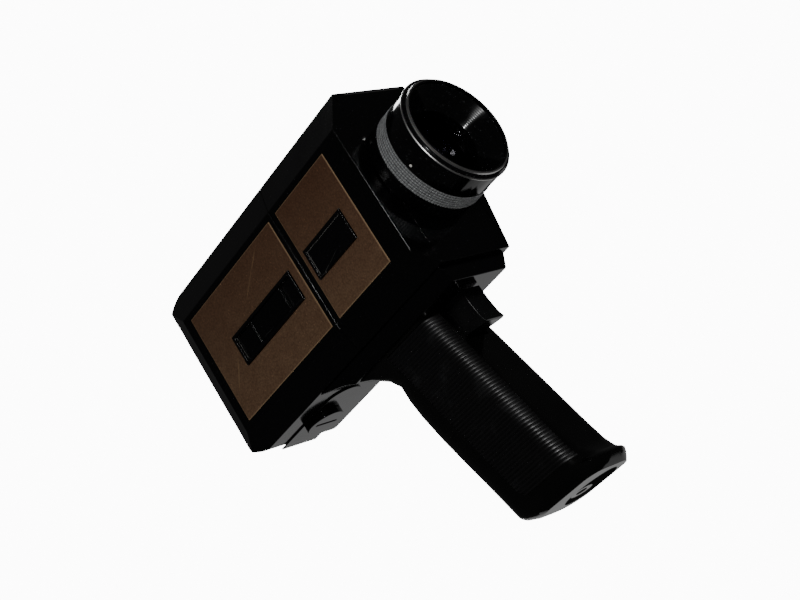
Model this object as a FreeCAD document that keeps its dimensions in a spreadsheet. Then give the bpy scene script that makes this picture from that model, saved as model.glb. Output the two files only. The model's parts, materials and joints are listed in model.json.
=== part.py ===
import FreeCAD, Part
import math
import os
import re

import Sketcher
from FreeCAD import Placement, Rotation, Vector

# Movie camera for cartridge film: a long box body on a pistol grip.
# Origin: mouth of the tripod socket in the grip's foot. +Z is up, the lens looks along -Y
# and the film door is on the -X side.

# Driving sizes in millimetres: alias, value, meaning
SIZES = [
    ("grip_height", 101.5, "foot to underside of the body"),
    ("body_height", 86.8, "underside to top of the body"),
    ("body_length", 155.0, "front plate to rear face"),
    ("front_overhang", 21.5, "front face ahead of the tripod socket"),
    ("flat_half", 21.0, "half width of the flat top and bottom"),
    ("door_depth", 12.0, "bulge of the door side past the flat"),
    ("left_depth", 10.4, "bulge of the left side past the flat"),
    ("left_lean", 6.1, "bulge of the left side at its lower knee"),
    ("knee_rise", 27.5, "height of the left side's lower knee"),
    ("low_crease", 8.6, "rise of the door side's lower crease"),
    ("top_crease", 17.3, "drop of the door side's upper crease"),
    ("rear_crease", 15.5, "door side's rear crease ahead of the rear face"),
    ("corner_round", 10.0, "radius of the rear corners in side view"),
    ("wall", 2.0, "wall of the body and its covers"),
    ("inner_wall", 1.5, "shelf and rear wall of the film chamber"),
    ("seam", 0.3, "gap between neighbouring pieces"),
    ("fit", 0.1, "clearance of a seated round piece"),
    ("running", 0.05, "radial clearance of a shaft"),
    ("soften", 0.7, "rounding of the outer creases"),
    ("lid", 1.1, "thickness of the top cover"),
    ("front_plate", 2.2, "thickness of the front plate"),
    ("trim_left", 15.0, "trim strip's reach to the door side"),
    ("trim_right", 17.6, "trim strip's reach to the left side"),
    ("trim_height", 0.5, "height of the trim strip"),
    ("trim_depth", 1.0, "depth of the trim groove"),
    ("seam_back", 55.9, "front face to the door seam"),
    ("seam_slant", 8.6, "run of the door seam over each chamfer"),
    ("recess", 0.5, "depth of the leatherette recess"),
    ("cloth", 0.8, "thickness of the leatherette"),
    ("cloth_low", 2.8, "lower crease to the leatherette"),
    ("cloth_top", 2.9, "upper crease to the leatherette"),
    ("front_cloth_start", 12.0, "front face to the front leatherette"),
    ("front_cloth_long", 40.8, "length of the front leatherette"),
    ("rear_cloth_start", 2.7, "door seam to the rear leatherette"),
    ("rear_cloth_long", 75.6, "length of the rear leatherette"),
    ("frame_rise", 29.5, "underside of the body to the two frames"),
    ("frame_high", 14.8, "height of the two frames"),
    ("frame_thick", 1.6, "thickness of the two frames"),
    ("frame_rim", 1.6, "width of the frames' rims"),
    ("badge_start", 20.0, "front face to the badge frame"),
    ("badge_long", 30.0, "length of the badge frame"),
    ("latch_start", 7.7, "door seam to the latch frame"),
    ("latch_long", 51.9, "length of the latch frame"),
    ("slider_start", 9.8, "latch frame to the slider"),
    ("slider_long", 27.0, "length of the slider"),
    ("slider_thick", 1.0, "thickness of the slider's plate"),
    ("latch_travel", 4.0, "travel of the latch"),
    ("bolt_thick", 1.5, "thickness of the latch bolt"),
    ("bolt_half", 2.0, "half height of the latch bolt"),
    ("stem_long", 6.0, "length of the slider's stem"),
    ("spring_reach", 11.5, "bow of the cartridge spring past the chamber's left wall"),
    ("spring_thick", 0.5, "thickness of the cartridge spring"),
    ("hinge_radius", 1.5, "radius of the door's knuckles"),
    ("hinge_back", 2.0, "door hinge axis ahead of the rear face"),
    ("door_corner_out", 1.6, "door's rear corner past its hinge axis, to the side"),
    ("door_corner_back", 1.2, "door's rear corner behind its hinge axis"),
    ("hinge_half", 22.0, "half length of the door's middle knuckle"),
    ("hinge_end", 9.0, "length of each fixed knuckle"),
    ("door_pin", 0.8, "radius of the door's hinge pin"),
    ("chamber_long", 77.5, "length of the film chamber"),
    ("chamber_high", 69.3, "height of the film chamber"),
    ("web_side", 7.0, "film chamber's left wall from the lens plane"),
    ("lens_rise", 43.8, "underside of the body to the lens axis"),
    ("barrel_radius", 25.5, "radius of the fixed lens barrel"),
    ("barrel_long", 7.2, "front face to the end of the fixed barrel"),
    ("ring_radius", 25.8, "radius of the knurled ring"),
    ("ring_long", 7.0, "length of the knurled ring"),
    ("ring_gap", 0.2, "gap on each side of the knurled ring"),
    ("spigot_radius", 18.0, "radius of the barrel's spigot in the front plate"),
    ("core_radius", 21.0, "outer radius of the lens core"),
    ("core_bore", 19.0, "bore of the lens core"),
    ("hood_radius", 25.9, "largest radius of the hood"),
    ("knurl_teeth", 120, "teeth of the knurled ring"),
    ("knurl_depth", 0.16, "depth of the knurls"),
    ("ring_grooves", 5, "grooves around the knurled ring"),
    ("groove_half", 0.3, "half width of the ring's grooves"),
    ("groove_depth", 0.5, "depth of the ring's grooves"),
    ("hood_long", 11.4, "knurled ring to the hood's bright ring"),
    ("hood_ring", 0.8, "width of each bright ring"),
    ("hood_nose", 1.9, "bright ring to the hood's front edge"),
    ("rim_radius", 24.5, "outer radius of the bright front rim"),
    ("thread_radius", 23.0, "radius of the filter thread"),
    ("thread_long", 1.5, "length of the filter thread"),
    ("cone_radius", 15.5, "inner end of the black cone"),
    ("cone_long", 8.1, "length of the black cone"),
    ("front_glass", 5.0, "thickness of the front lens"),
    ("glass_crown", 1.6, "height of the front lens's crown"),
    ("tube_radius", 15.5, "outer radius of the lens tube"),
    ("tube_wall", 1.5, "wall of the lens tube"),
    ("tube_back", 29.5, "front face to the rear of the lens tube"),
    ("tube_front", 6.5, "front face to the front of the lens tube"),
    ("cell_long", 8.0, "length of the zoom cell"),
    ("cell_wall", 3.0, "wall of the zoom cell"),
    ("cell_start", 2.0, "front of the lens tube to the zoom cell"),
    ("prism_side", 10.0, "edge of the beam prism"),
    ("block_wall", 1.5, "wall of the optics block"),
    ("rear_glass", 4.5, "radius of the rear lens"),
    ("rear_glass_long", 5.0, "length of the rear lens"),
    ("shutter_side", 5.0, "shutter axis left of the lens axis"),
    ("shutter_drop", 10.9, "shutter axis below the lens axis"),
    ("shutter_radius", 16.0, "radius of the shutter disc"),
    ("tooth_module", 0.75, "module of the gears"),
    ("shutter_teeth", 12, "teeth of the shutter gear"),
    ("idler_teeth", 12, "teeth of the idler gear"),
    ("drive_teeth", 12, "teeth of the drive shaft's gear"),
    ("pinion_teeth", 8, "teeth of the motor pinion"),
    ("gear_wide", 2.0, "width of the gears"),
    ("train_angle", 47.0, "slope of the gear train below the horizontal"),
    ("pinion_angle", 135.0, "direction of the pinion below the idler"),
    ("shaft_radius", 1.0, "radius of the gear shafts"),
    ("motor_radius", 7.0, "radius of the motor"),
    ("motor_long", 26.0, "length of the motor"),
    ("plate_thick", 1.5, "thickness of the mechanism plate"),
    ("plate_back", 14.2, "mechanism plate ahead of the partition"),
    ("worm_radius", 2.2, "radius of the worm"),
    ("worm_long", 10.0, "length of the worm"),
    ("wheel_radius", 9.0, "radius of the take-up wheel"),
    ("wheel_teeth", 36, "teeth of the take-up wheel"),
    ("spindle_radius", 2.0, "radius of the take-up spindle"),
    ("spindle_back", 36.6, "door seam to the take-up spindle"),
    ("gate_thick", 1.6, "thickness of the film gate"),
    ("aperture_wide", 5.8, "width of the film aperture"),
    ("aperture_high", 4.2, "height of the film aperture"),
    ("claw_travel", 4.2, "travel of the film claw"),
    ("finder_drop", 11.0, "top of the body to the finder axis"),
    ("finder_radius", 2.7, "radius of the finder tube"),
    ("eye_radius", 6.8, "radius of the eyepiece tube"),
    ("eye_wall", 1.0, "wall of the eyepiece tube"),
    ("eye_long", 7.5, "rear face to the end of the eyepiece tube"),
    ("eyecup_radius", 10.0, "radius of the eyecup"),
    ("eyecup_long", 8.0, "length of the eyecup"),
    ("dioptre_long", 3.5, "length of the dioptre ring"),
    ("knob_radius", 7.5, "radius of the run knob"),
    ("knob_long", 5.0, "height of the run knob"),
    ("knob_side", 10.0, "run knob left of the lens plane"),
    ("knob_rise", 18.0, "underside of the body to the run knob"),
    ("dial_radius", 8.0, "radius of the counter dial"),
    ("dial_side", 12.0, "counter dial left of the lens plane"),
    ("dial_rise", 43.0, "underside of the body to the counter dial"),
    ("window_radius", 2.5, "radius of the counter window"),
    ("window_rise", 4.5, "counter window above the dial's centre"),
    ("shoe_high", 7.2, "height of the skirt under the body"),
    ("shoe_top", 20.4, "half width of the skirt at the body"),
    ("shoe_low", 16.7, "half width of the skirt's flat underside"),
    ("shoe_inset", 3.4, "front face to the skirt"),
    ("grip_half", 15.2, "half width of the grip"),
    ("grip_front", 19.5, "front line of the grip ahead of the socket, at the foot"),
    ("grip_lean", 0.271, "slope of the grip's front line"),
    ("grip_depth", 47.5, "depth of the grip"),
    ("palm_swell", 1.0, "swell of the grip's back"),
    ("arch_high", 20.7, "height of the arch behind the grip"),
    ("arch_long", 31.9, "reach of the arch behind the grip"),
    ("front_corner", 7.7, "corner radius of the grip's front"),
    ("back_corner", 13.4, "corner radius of the grip's back"),
    ("toe_high", 5.2, "height of the foot's toe lip"),
    ("toe_reach", 7.0, "toe lip ahead of the grip's front line"),
    ("toe_corner", 13.0, "corner radius of the toe lip"),
    ("foot_floor", 3.0, "thickness of the foot's floor"),
    ("grip_wall", 1.8, "wall of the grip behind the inserts"),
    ("insert_thick", 1.3, "thickness of the ribbed inserts"),
    ("rib_pitch", 1.7, "pitch of the ribs"),
    ("rib_depth", 0.45, "depth of the grooves between the ribs"),
    ("strip_top", 8.0, "right insert's front end from the middle, at the top"),
    ("strip_foot", 10.4, "right insert's front end from the middle, at the foot"),
    ("strip_far", 11.5, "left insert's front end from the middle"),
    ("insert_low", 9.6, "foot to the lower end of the inserts"),
    ("insert_drop", 8.6, "underside of the body to the inserts' upper end"),
    ("trigger_half", 5.9, "half width of the trigger"),
    ("trigger_drop", 8.0, "underside of the body to the trigger's top"),
    ("trigger_high", 17.2, "height of the trigger"),
    ("trigger_reach", 15.0, "trigger's front ahead of the grip's front line"),
    ("trigger_long", 22.7, "length of the trigger with its shank"),
    ("trigger_travel", 3.5, "travel of the trigger"),
    ("switch_long", 10.0, "length of the trigger switch"),
    ("battery_radius", 7.1, "radius of a battery"),
    ("battery_long", 50.2, "length of a battery"),
    ("battery_rise", 13.5, "foot to the lower ends of the batteries"),
    ("battery_lean", 17.0, "lean of the batteries"),
    ("hatch_low", 14.0, "foot to the battery door's hinge"),
    ("hatch_high", 56.0, "height of the battery door"),
    ("hatch_half", 9.5, "half width of the battery door"),
    ("hatch_pin", 0.7, "radius of the battery door's pin"),
    ("knuckle_radius", 2.05, "radius of the battery door's knuckles"),
    ("knuckle_half", 3.3, "half length of the battery door's middle knuckle"),
    ("knuckle_end", 5.9, "middle of the grip to the outer end of each fixed knuckle"),
    ("roll_radius", 1.1, "radius of the rolled ends beside the knuckles"),
    ("roll_end", 8.0, "middle of the grip to the outer end of each rolled end"),
    ("socket_radius", 2.6, "radius of the tripod thread"),
    ("socket_long", 7.5, "length of the tripod thread"),
    ("bush_radius", 5.0, "radius of the tripod bush"),
    ("base_half", 10.6, "half width of the base plate"),
    ("base_thick", 0.7, "thickness of the base plate"),
    ("base_nose", 54.5, "rear face to the base plate's round nose"),
    ("base_back", 4.5, "rear face to the base plate's rear edge"),
    ("cap_radius", 9.3, "radius of the meter cap"),
    ("cap_high", 3.8, "height of the meter cap below the body"),
    ("cap_back", 29.5, "rear face to the meter cap"),
    ("cap_side", 1.7, "meter cap's offset to the door side"),
    ("cell_radius", 5.8, "radius of the meter's button cell"),
    ("cell_high", 3.4, "height of the meter's button cell"),
    ("screw_radius", 1.8, "radius of the case screws' heads"),
    ("screw_high", 1.0, "height of the case screws' heads"),
]

# Places worked out from the driving sizes, as formulas of the sheet
BOTTOM = "grip_height"
TOP = "(grip_height + body_height)"
ROOF = "(grip_height + body_height - lid)"
MIDDLE = "(grip_height + body_height / 2)"
FRONT = "(-front_overhang)"
SHELL_FRONT = "(front_plate - front_overhang)"
REAR = "(body_length - front_overhang)"
SEAM_Y = "(seam_back - front_overhang)"
LOW_CREASE = "(grip_height + low_crease)"
TOP_CREASE = "(grip_height + body_height - top_crease)"
DOOR_X = "(-flat_half - door_depth)"
SIDE_X = "(-flat_half - seam)"
RECESS_X = f"({DOOR_X} + recess)"
LENS_Z = "(grip_height + lens_rise)"
FRAME_LOW = "(grip_height + frame_rise)"
FRAME_TOP = "(grip_height + frame_rise + frame_high)"
FRAME_MID = "(grip_height + frame_rise + frame_high / 2)"
CLOTH_LOW = f"({LOW_CREASE} + cloth_low)"
CLOTH_TOP = f"({TOP_CREASE} - cloth_top)"
LATCH_Y = f"({SEAM_Y} + latch_start)"
SLIDER_Y = f"({LATCH_Y} + slider_start)"
BOLT_X = f"({DOOR_X} + wall + seam)"
HINGE_X = f"({SIDE_X} - hinge_radius)"
HINGE_Y = f"({REAR} - hinge_back)"
CHAMBER_Y = f"({SEAM_Y} + 0.6)"
CHAMBER_END = f"({CHAMBER_Y} + chamber_long)"
FLOOR = f"({BOTTOM} + wall)"
SHELF = f"({FLOOR} + chamber_high)"
FINDER_Z = f"({TOP} - finder_drop)"
PLATE_Y = f"({CHAMBER_Y} - wall - plate_back + plate_thick)"
GEAR_Y = f"({PLATE_Y} + 1)"
SHUTTER_Z = f"({LENS_Z} - shutter_drop)"
BEAM_Y = f"({FRONT} + tube_back + 0.3 + block_wall)"
SHOE_Z = "(grip_height - shoe_high)"

doc = FreeCAD.newDocument("movie_camera")
sheet = doc.addObject("Spreadsheet::Sheet", "Sizes")
scratch = doc.addObject("Spreadsheet::Sheet", "Scratch")
NAMES = {alias for alias, value, meaning in SIZES}
nodes = {}


# Sheet and formulas

def fill_sheet():
    for row, (alias, value, meaning) in enumerate(SIZES, start=1):
        sheet.set(f"A{row}", meaning)
        sheet.set(f"B{row}", str(value))
        sheet.setAlias(f"B{row}", alias)
    doc.recompute()


def formula(text):
    """A formula of aliases, as the sheet's own expression."""
    def cell(match):
        word = match.group()
        return f"Sizes.{word}" if word in NAMES else word
    return re.sub(r"[a-z][a-z_]*", cell, str(text))


def bind(thing, name, text):
    thing.setExpression(name, formula(text))


def size(alias):
    return float(sheet.get(alias))


def number(text):
    """Value of a formula, worked out in a spare cell."""
    scratch.set("A1", "=" + formula(text))
    scratch.recompute()
    return float(scratch.get("A1"))


def place(thing, at):
    for axis, text in zip("xyz", at):
        bind(thing, f"Placement.Base.{axis}", text)


def keep(node, thing):
    """Name a sub-part after its node."""
    thing.Label = node
    nodes[node] = thing
    return thing


# Bodies made from sketches

# Sketch planes: name of the origin plane, and the sign of its normal along the world axis
PLANES = {"top": ("XY_Plane", 1), "front": ("XZ_Plane", -1), "side": ("YZ_Plane", 1)}


def inner_body(name):
    """Body that only takes part in a cut."""
    return doc.addObject("PartDesign::Body", name)


def new_body(node, at=("0", "0", "0")):
    body = doc.addObject("PartDesign::Body", node)
    place(body, at)
    return keep(node, body)


def sketch_on(body, plane, height):
    role, sign = PLANES[plane]
    sketch = body.newObject("Sketcher::SketchObject", "Outline")
    support = [item for item in body.Origin.OriginFeatures if item.Role == role][0]
    sketch.AttachmentSupport = [(support, "")]
    sketch.MapMode = "FlatFace"
    bind(sketch, "AttachmentOffset.Base.z", f"{sign} * ({height})")
    return sketch


def pin_point(sketch, curve, end, point):
    """Hold one end of a curve at a point given as two formulas."""
    for kind, text in zip(("DistanceX", "DistanceY"), point):
        index = sketch.addConstraint(Sketcher.Constraint(kind, -1, 1, curve, end, number(text)))
        sketch.setExpression(f"Constraints[{index}]", formula(text))


def draw_loop(sketch, points):
    """Closed outline of straight lines."""
    count = len(points)
    start = [Vector(number(x), number(y), 0) for x, y in points]
    for k in range(count):
        sketch.addGeometry(Part.LineSegment(start[k], start[(k + 1) % count]), False)
    for k in range(count):
        sketch.addConstraint(Sketcher.Constraint("Coincident", k, 2, (k + 1) % count, 1))
    for k, point in enumerate(points):
        pin_point(sketch, k, 1, point)


def draw_circle(sketch, center, radius):
    middle = Vector(number(center[0]), number(center[1]), 0)
    curve = sketch.addGeometry(Part.Circle(middle, Vector(0, 0, 1), number(radius)), False)
    index = sketch.addConstraint(Sketcher.Constraint("Radius", curve, number(radius)))
    sketch.setExpression(f"Constraints[{index}]", formula(radius))
    pin_point(sketch, curve, 3, center)


def rectangle(low, high):
    (x_low, y_low), (x_high, y_high) = low, high
    return [(x_low, y_low), (x_high, y_low), (x_high, y_high), (x_low, y_high)]


def extrude(body, kind, sketch, plane, start, end):
    sign = PLANES[plane][1]
    feature = body.newObject(kind, "Feature")
    feature.Profile = sketch
    bind(feature, "Length", f"({end}) - ({start})")
    upward = sign > 0
    feature.Reversed = upward if kind == "PartDesign::Pocket" else not upward
    body.Tip = feature
    return feature


def pad(body, plane, points, start, end):
    sketch = sketch_on(body, plane, start)
    draw_loop(sketch, points)
    return extrude(body, "PartDesign::Pad", sketch, plane, start, end)


def pocket(body, plane, points, start, end):
    sketch = sketch_on(body, plane, start)
    draw_loop(sketch, points)
    return extrude(body, "PartDesign::Pocket", sketch, plane, start, end)


def round_pad(body, plane, center, radius, start, end):
    sketch = sketch_on(body, plane, start)
    draw_circle(sketch, center, radius)
    return extrude(body, "PartDesign::Pad", sketch, plane, start, end)


def round_pocket(body, plane, center, radius, start, end):
    sketch = sketch_on(body, plane, start)
    draw_circle(sketch, center, radius)
    return extrude(body, "PartDesign::Pocket", sketch, plane, start, end)


def lathe(body, points):
    """Turn an outline of (radius, place along Y) about the body's own Y axis."""
    sketch = sketch_on(body, "top", "0")
    draw_loop(sketch, points)
    turned = body.newObject("PartDesign::Revolution", "Turned")
    turned.Profile = sketch
    turned.ReferenceAxis = (sketch, ["V_Axis"])
    turned.Angle = 360
    body.Tip = turned
    return turned


def picked(shape, kind, choose):
    items = shape.Faces if kind == "Face" else shape.Edges
    return [f"{kind}{k}" for k, item in enumerate(items, start=1) if choose(item)]


def hollow(body, choose):
    """Leave a wall of even thickness, open at the chosen faces."""
    doc.recompute()
    base = body.Tip
    shell = body.newObject("PartDesign::Thickness", "Wall")
    shell.Base = (base, picked(base.Shape, "Face", choose))
    shell.Reversed = True
    shell.Join = 1
    bind(shell, "Value", "wall")
    body.Tip = shell
    return shell


def soften(body, radius, choose):
    """Round the chosen edges."""
    doc.recompute()
    base = body.Tip
    rounded = body.newObject("PartDesign::Fillet", "Rounding")
    rounded.Base = (base, picked(base.Shape, "Edge", choose))
    bind(rounded, "Radius", radius)
    body.Tip = rounded
    return rounded


def cut_rear_corners(body, start, end, top):
    """Round the rear corners of a side piece, seen from the side."""
    for corner, way in ((BOTTOM, 1), (top, -1)):
        sketch = sketch_on(body, "side", start)
        edge = f"({REAR} - corner_round)"
        inner = f"({corner} + {way} * corner_round)"
        past = f"({REAR} + 1)"
        under = f"({corner} - {way})"
        middle = Vector(number(edge), number(inner), 0)
        first = math.radians(-90 if way > 0 else 0)
        circle = Part.Circle(middle, Vector(0, 0, 1), size("corner_round"))
        sketch.addGeometry(Part.ArcOfCircle(circle, first, first + math.pi / 2), False)
        flat_end, upright_end = (1, 2) if way > 0 else (2, 1)
        path = [(edge, corner), (edge, under), (past, under), (past, inner), (REAR, inner)]
        points = [Vector(number(y), number(z), 0) for y, z in path]
        for k in range(4):
            sketch.addGeometry(Part.LineSegment(points[k], points[k + 1]), False)
        sketch.addConstraint(Sketcher.Constraint("Coincident", 0, flat_end, 1, 1))
        for k in (1, 2, 3):
            sketch.addConstraint(Sketcher.Constraint("Coincident", k, 2, k + 1, 1))
        sketch.addConstraint(Sketcher.Constraint("Coincident", 4, 2, 0, upright_end))
        for k, point in enumerate(path[:4], start=1):
            pin_point(sketch, k, 1, point)
        pin_point(sketch, 4, 2, path[4])
        index = sketch.addConstraint(Sketcher.Constraint("DistanceX", -1, 1, 0, 3, number(edge)))
        sketch.setExpression(f"Constraints[{index}]", formula(edge))
        extrude(body, "PartDesign::Pocket", sketch, "side", start, end)


# Primitives and booleans

AXES = {"x": Rotation(Vector(0, 0, 1), Vector(1, 0, 0)),
        "y": Rotation(Vector(0, 0, 1), Vector(0, 1, 0)),
        "z": Rotation()}


def block(low, high):
    """Box between two corners given as formulas."""
    box = doc.addObject("Part::Box", "Block")
    place(box, low)
    for name, start, end in zip(("Length", "Width", "Height"), low, high):
        bind(box, name, f"({end}) - ({start})")
    return box


def rod(axis, center, radius, start, end):
    """Cylinder along an axis: center gives the two other places, in the order x, y, z."""
    cylinder = doc.addObject("Part::Cylinder", "Rod")
    cylinder.Placement = Placement(Vector(), AXES[axis])
    at = list(center)
    at.insert("xyz".index(axis), start)
    place(cylinder, at)
    bind(cylinder, "Radius", radius)
    bind(cylinder, "Height", f"({end}) - ({start})")
    return cylinder


def cut(base, *tools):
    for tool in tools:
        result = doc.addObject("Part::Cut", "Cut")
        result.Base = base
        result.Tool = tool
        base = result
    return base


def fuse(*things):
    result = doc.addObject("Part::MultiFuse", "Fused")
    result.Shapes = list(things)
    return result


def group(*things):
    result = doc.addObject("Part::Compound", "Group")
    result.Links = list(things)
    return result


def tube(axis, center, outer, inner, start, end):
    hole = rod(axis, center, inner, f"{start} - 1", f"{end} + 1")
    return cut(rod(axis, center, outer, start, end), hole)


def fixed(node, shape, at=(0, 0, 0)):
    """Sub-part whose shape is made from the sheet's numbers."""
    feature = doc.addObject("Part::Feature", node)
    feature.Shape = shape
    feature.Placement = Placement(Vector(*at), Rotation())
    return keep(node, feature)


# Body casing and its covers

SHELL_LOOP = rectangle((SHELL_FRONT, BOTTOM), (REAR, ROOF))


def make_main_body():
    body = new_body("main_body")
    pad(body, "side", SHELL_LOOP, "-flat_half", "flat_half")
    cut_rear_corners(body, "-flat_half", "flat_half", ROOF)
    side = size("flat_half") - 0.01
    front = size("front_plate") - size("front_overhang") + 0.01
    hollow(body, lambda face: abs(face.CenterOfMass.x) > side or face.CenterOfMass.y < front)
    under_roof = f"{ROOF} - wall"
    partition = rectangle(("-flat_half", FLOOR), ("flat_half", under_roof))
    pad(body, "front", partition, f"{CHAMBER_Y} - wall", CHAMBER_Y)
    web = rectangle((CHAMBER_Y, FLOOR), (CHAMBER_END, f"{SHELF} + inner_wall"))
    pad(body, "side", web, "web_side", "web_side + wall")
    shelf = rectangle((CHAMBER_Y, SHELF), (f"{CHAMBER_END} + inner_wall", f"{SHELF} + inner_wall"))
    pad(body, "side", shelf, "-flat_half", "web_side + wall")
    back = rectangle((CHAMBER_END, FLOOR), (f"{CHAMBER_END} + inner_wall", f"{SHELF} + inner_wall"))
    pad(body, "side", back, "-flat_half", "web_side + wall")
    add_door_knuckles(body)
    cut_partition(body)
    cut_rear_wall(body)
    pin = (SPINDLE_Y, SPINDLE_Z)
    round_pocket(body, "side", pin, "spindle_radius + running", "web_side - 1", "web_side + wall + 1")
    well = ("-cap_side", f"{REAR} - cap_back")
    round_pocket(body, "top", well, "cell_radius + 2 * seam", f"{BOTTOM} - 1", f"{BOTTOM} + wall - 0.6")


def add_door_knuckles(body):
    """Two fixed knuckles on the rear edge, above and below the door's own."""
    center = (HINGE_X, HINGE_Y)
    leaf = [(f"{HINGE_X} + door_pin * 1.4", f"{HINGE_Y} - 0.6"), ("-flat_half", f"{HINGE_Y} - 0.6"),
            ("-flat_half", f"{HINGE_Y} + 0.6"), (f"{HINGE_X} + door_pin * 1.4", f"{HINGE_Y} + 0.6")]
    post = rectangle(("-flat_half", f"{HINGE_Y} - 0.6"), ("wall - flat_half", f"{REAR} - wall"))
    for way in (1, -1):
        near = f"{MIDDLE} + {way} * (hinge_half + seam)"
        far = f"{MIDDLE} + {way} * (hinge_half + hinge_end)"
        low, high = (near, far) if way > 0 else (far, near)
        pad(body, "top", post, low, high)
        pad(body, "top", leaf, low, high)
        round_pad(body, "top", center, "hinge_radius", low, high)
        round_pocket(body, "top", center, "door_pin + running", f"{low} - 0.1", f"{high} + 0.1")


def cut_partition(body):
    span = (f"{CHAMBER_Y} - wall - 1", f"{CHAMBER_Y} + 0.1")
    window = rectangle(("-aperture_wide - 0.2", f"{LENS_Z} - aperture_high - 1.5"),
                       ("aperture_wide + 0.2", f"{LENS_Z} + aperture_high + 1.5"))
    pocket(body, "front", window, *span)
    round_pocket(body, "front", (DRIVE_X, DRIVE_Z), "shaft_radius + running", *span)
    round_pocket(body, "front", ("0", FINDER_Z), "finder_radius + fit", *span)


def cut_rear_wall(body):
    span = (f"{REAR} - wall - 1", f"{REAR} + 1")
    round_pocket(body, "front", ("0", FINDER_Z), "eye_radius + fit", f"{REAR} - corner_round", f"{REAR} + 1")
    round_pocket(body, "front", (DIAL_X, WINDOW_Z), "window_radius + fit", *span)
    round_pocket(body, "front", (DIAL_X, DIAL_Z), "shaft_radius + running", span[0], f"{REAR} - 0.5")
    round_pocket(body, "front", (KNOB_X, KNOB_Z), "spindle_radius + running", *span)
    for center in SCREWS:
        round_pocket(body, "front", center, "screw_radius + fit", f"{REAR} - screw_high", span[1])


DIAL_X = "dial_side"
DIAL_Z = f"({BOTTOM} + dial_rise)"
WINDOW_Z = f"({DIAL_Z} + window_rise)"
KNOB_X = "knob_side"
KNOB_Z = f"({BOTTOM} + knob_rise)"
SCREWS = [(f"{side} * (flat_half - 4)", z) for side in (-1, 1)
          for z in (f"{BOTTOM} + corner_round + 3", f"{ROOF} - corner_round - 3")]

# Gear train seen from the front: the idler and the drive shaft lie on one slanting line
IDLER_X = "(shutter_side + tooth_module * (shutter_teeth + idler_teeth) / 2 * cos(train_angle))"
IDLER_Z = f"({SHUTTER_Z} - tooth_module * (shutter_teeth + idler_teeth) / 2 * sin(train_angle))"
DRIVE_X = f"({IDLER_X} + tooth_module * (idler_teeth + drive_teeth) / 2 * cos(train_angle))"
DRIVE_Z = f"({IDLER_Z} - tooth_module * (idler_teeth + drive_teeth) / 2 * sin(train_angle))"
PINION_X = f"({IDLER_X} + tooth_module * (idler_teeth + pinion_teeth) / 2 * cos(pinion_angle))"
PINION_Z = f"({IDLER_Z} - tooth_module * (idler_teeth + pinion_teeth) / 2 * sin(pinion_angle))"
SPINDLE_Y = f"({SEAM_Y} + spindle_back)"
SPINDLE_Z = f"({DRIVE_Z} + worm_radius + seam + wheel_radius)"


def side_wedges(body, inset="0"):
    """Cut the two long chamfers of the door side, or of its cavity with an inset."""
    past = f"{DOOR_X} - 1"
    side = f"({SIDE_X} + 1)"
    run = "(door_depth - seam)"
    low = f"{inset} * sqrt(1 + (low_crease / {run})^2)"
    high = f"{inset} * sqrt(1 + (top_crease / {run})^2)"
    below = [(side, f"{BOTTOM} - 1"), (side, f"{BOTTOM} + {low} - low_crease / {run}"),
             (DOOR_X, f"{LOW_CREASE} + {low}"), (past, f"{LOW_CREASE} + {low}"), (past, f"{BOTTOM} - 1")]
    above = [(side, f"{TOP} + 1"), (past, f"{TOP} + 1"), (past, f"{TOP_CREASE} - {high}"),
             (DOOR_X, f"{TOP_CREASE} - {high}"), (side, f"{TOP} - {high} + top_crease / {run}")]
    for wedge in (below, above):
        pocket(body, "front", wedge, f"{FRONT} - 1", f"{REAR} + 1")


CORNER_X = f"({HINGE_X} - door_corner_out)"
CORNER_Y = f"({HINGE_Y} + door_corner_back)"


def rear_wedge(body, inset="0"):
    """Cut the door's rear chamfer, from the flat panel to the corner behind the hinge."""
    past = f"{DOOR_X} - 1"
    side = f"{SIDE_X} + 2"
    behind = f"{REAR} + 2"
    slope = f"(({CORNER_Y} - {REAR} + rear_crease) / ({CORNER_X} - {DOOR_X}))"
    shift = f"{inset} * sqrt(1 + {slope}^2)"
    start = f"{REAR} - rear_crease - {shift}"
    end = f"{HINGE_Y} - {inset}"
    loop = [(past, start), (DOOR_X, start), (CORNER_X, f"{CORNER_Y} - {shift}")]
    if inset == "0":
        loop.append((f"{HINGE_X} + hinge_radius * 0.6", CORNER_Y))
    loop += [(f"{HINGE_X} + hinge_radius * 0.65", end), (side, end), (side, behind), (past, behind)]
    pocket(body, "top", loop, f"{BOTTOM} - 1", f"{TOP} + 1")


def seam_loop(away, near):
    """Side view of a piece that ends at the door seam, with its far end at a given place."""
    return [(away, BOTTOM), (f"{SEAM_Y} + seam_slant + {near}", BOTTOM), (f"{SEAM_Y} + {near}", LOW_CREASE),
            (f"{SEAM_Y} + {near}", TOP_CREASE), (f"{SEAM_Y} + seam_slant + {near}", TOP), (away, TOP)]


SEAM_SHIFT = "(wall * sqrt(1 + (seam_slant / low_crease)^2))"


def outer_edge(edge):
    """Edges of the flat side panel of the door side."""
    limit = -size("flat_half") - size("door_depth") + 0.01
    return edge.CenterOfMass.x < limit


def cloth_recess(body, start, long):
    loop = rectangle((start, CLOTH_LOW), (f"{start} + {long}", CLOTH_TOP))
    pocket(body, "side", loop, f"{DOOR_X} - 1", RECESS_X)


FRONT_CLOTH_Y = f"({FRONT} + front_cloth_start)"
REAR_CLOTH_Y = f"({SEAM_Y} + rear_cloth_start)"
BADGE_Y = f"({FRONT} + badge_start)"


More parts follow.
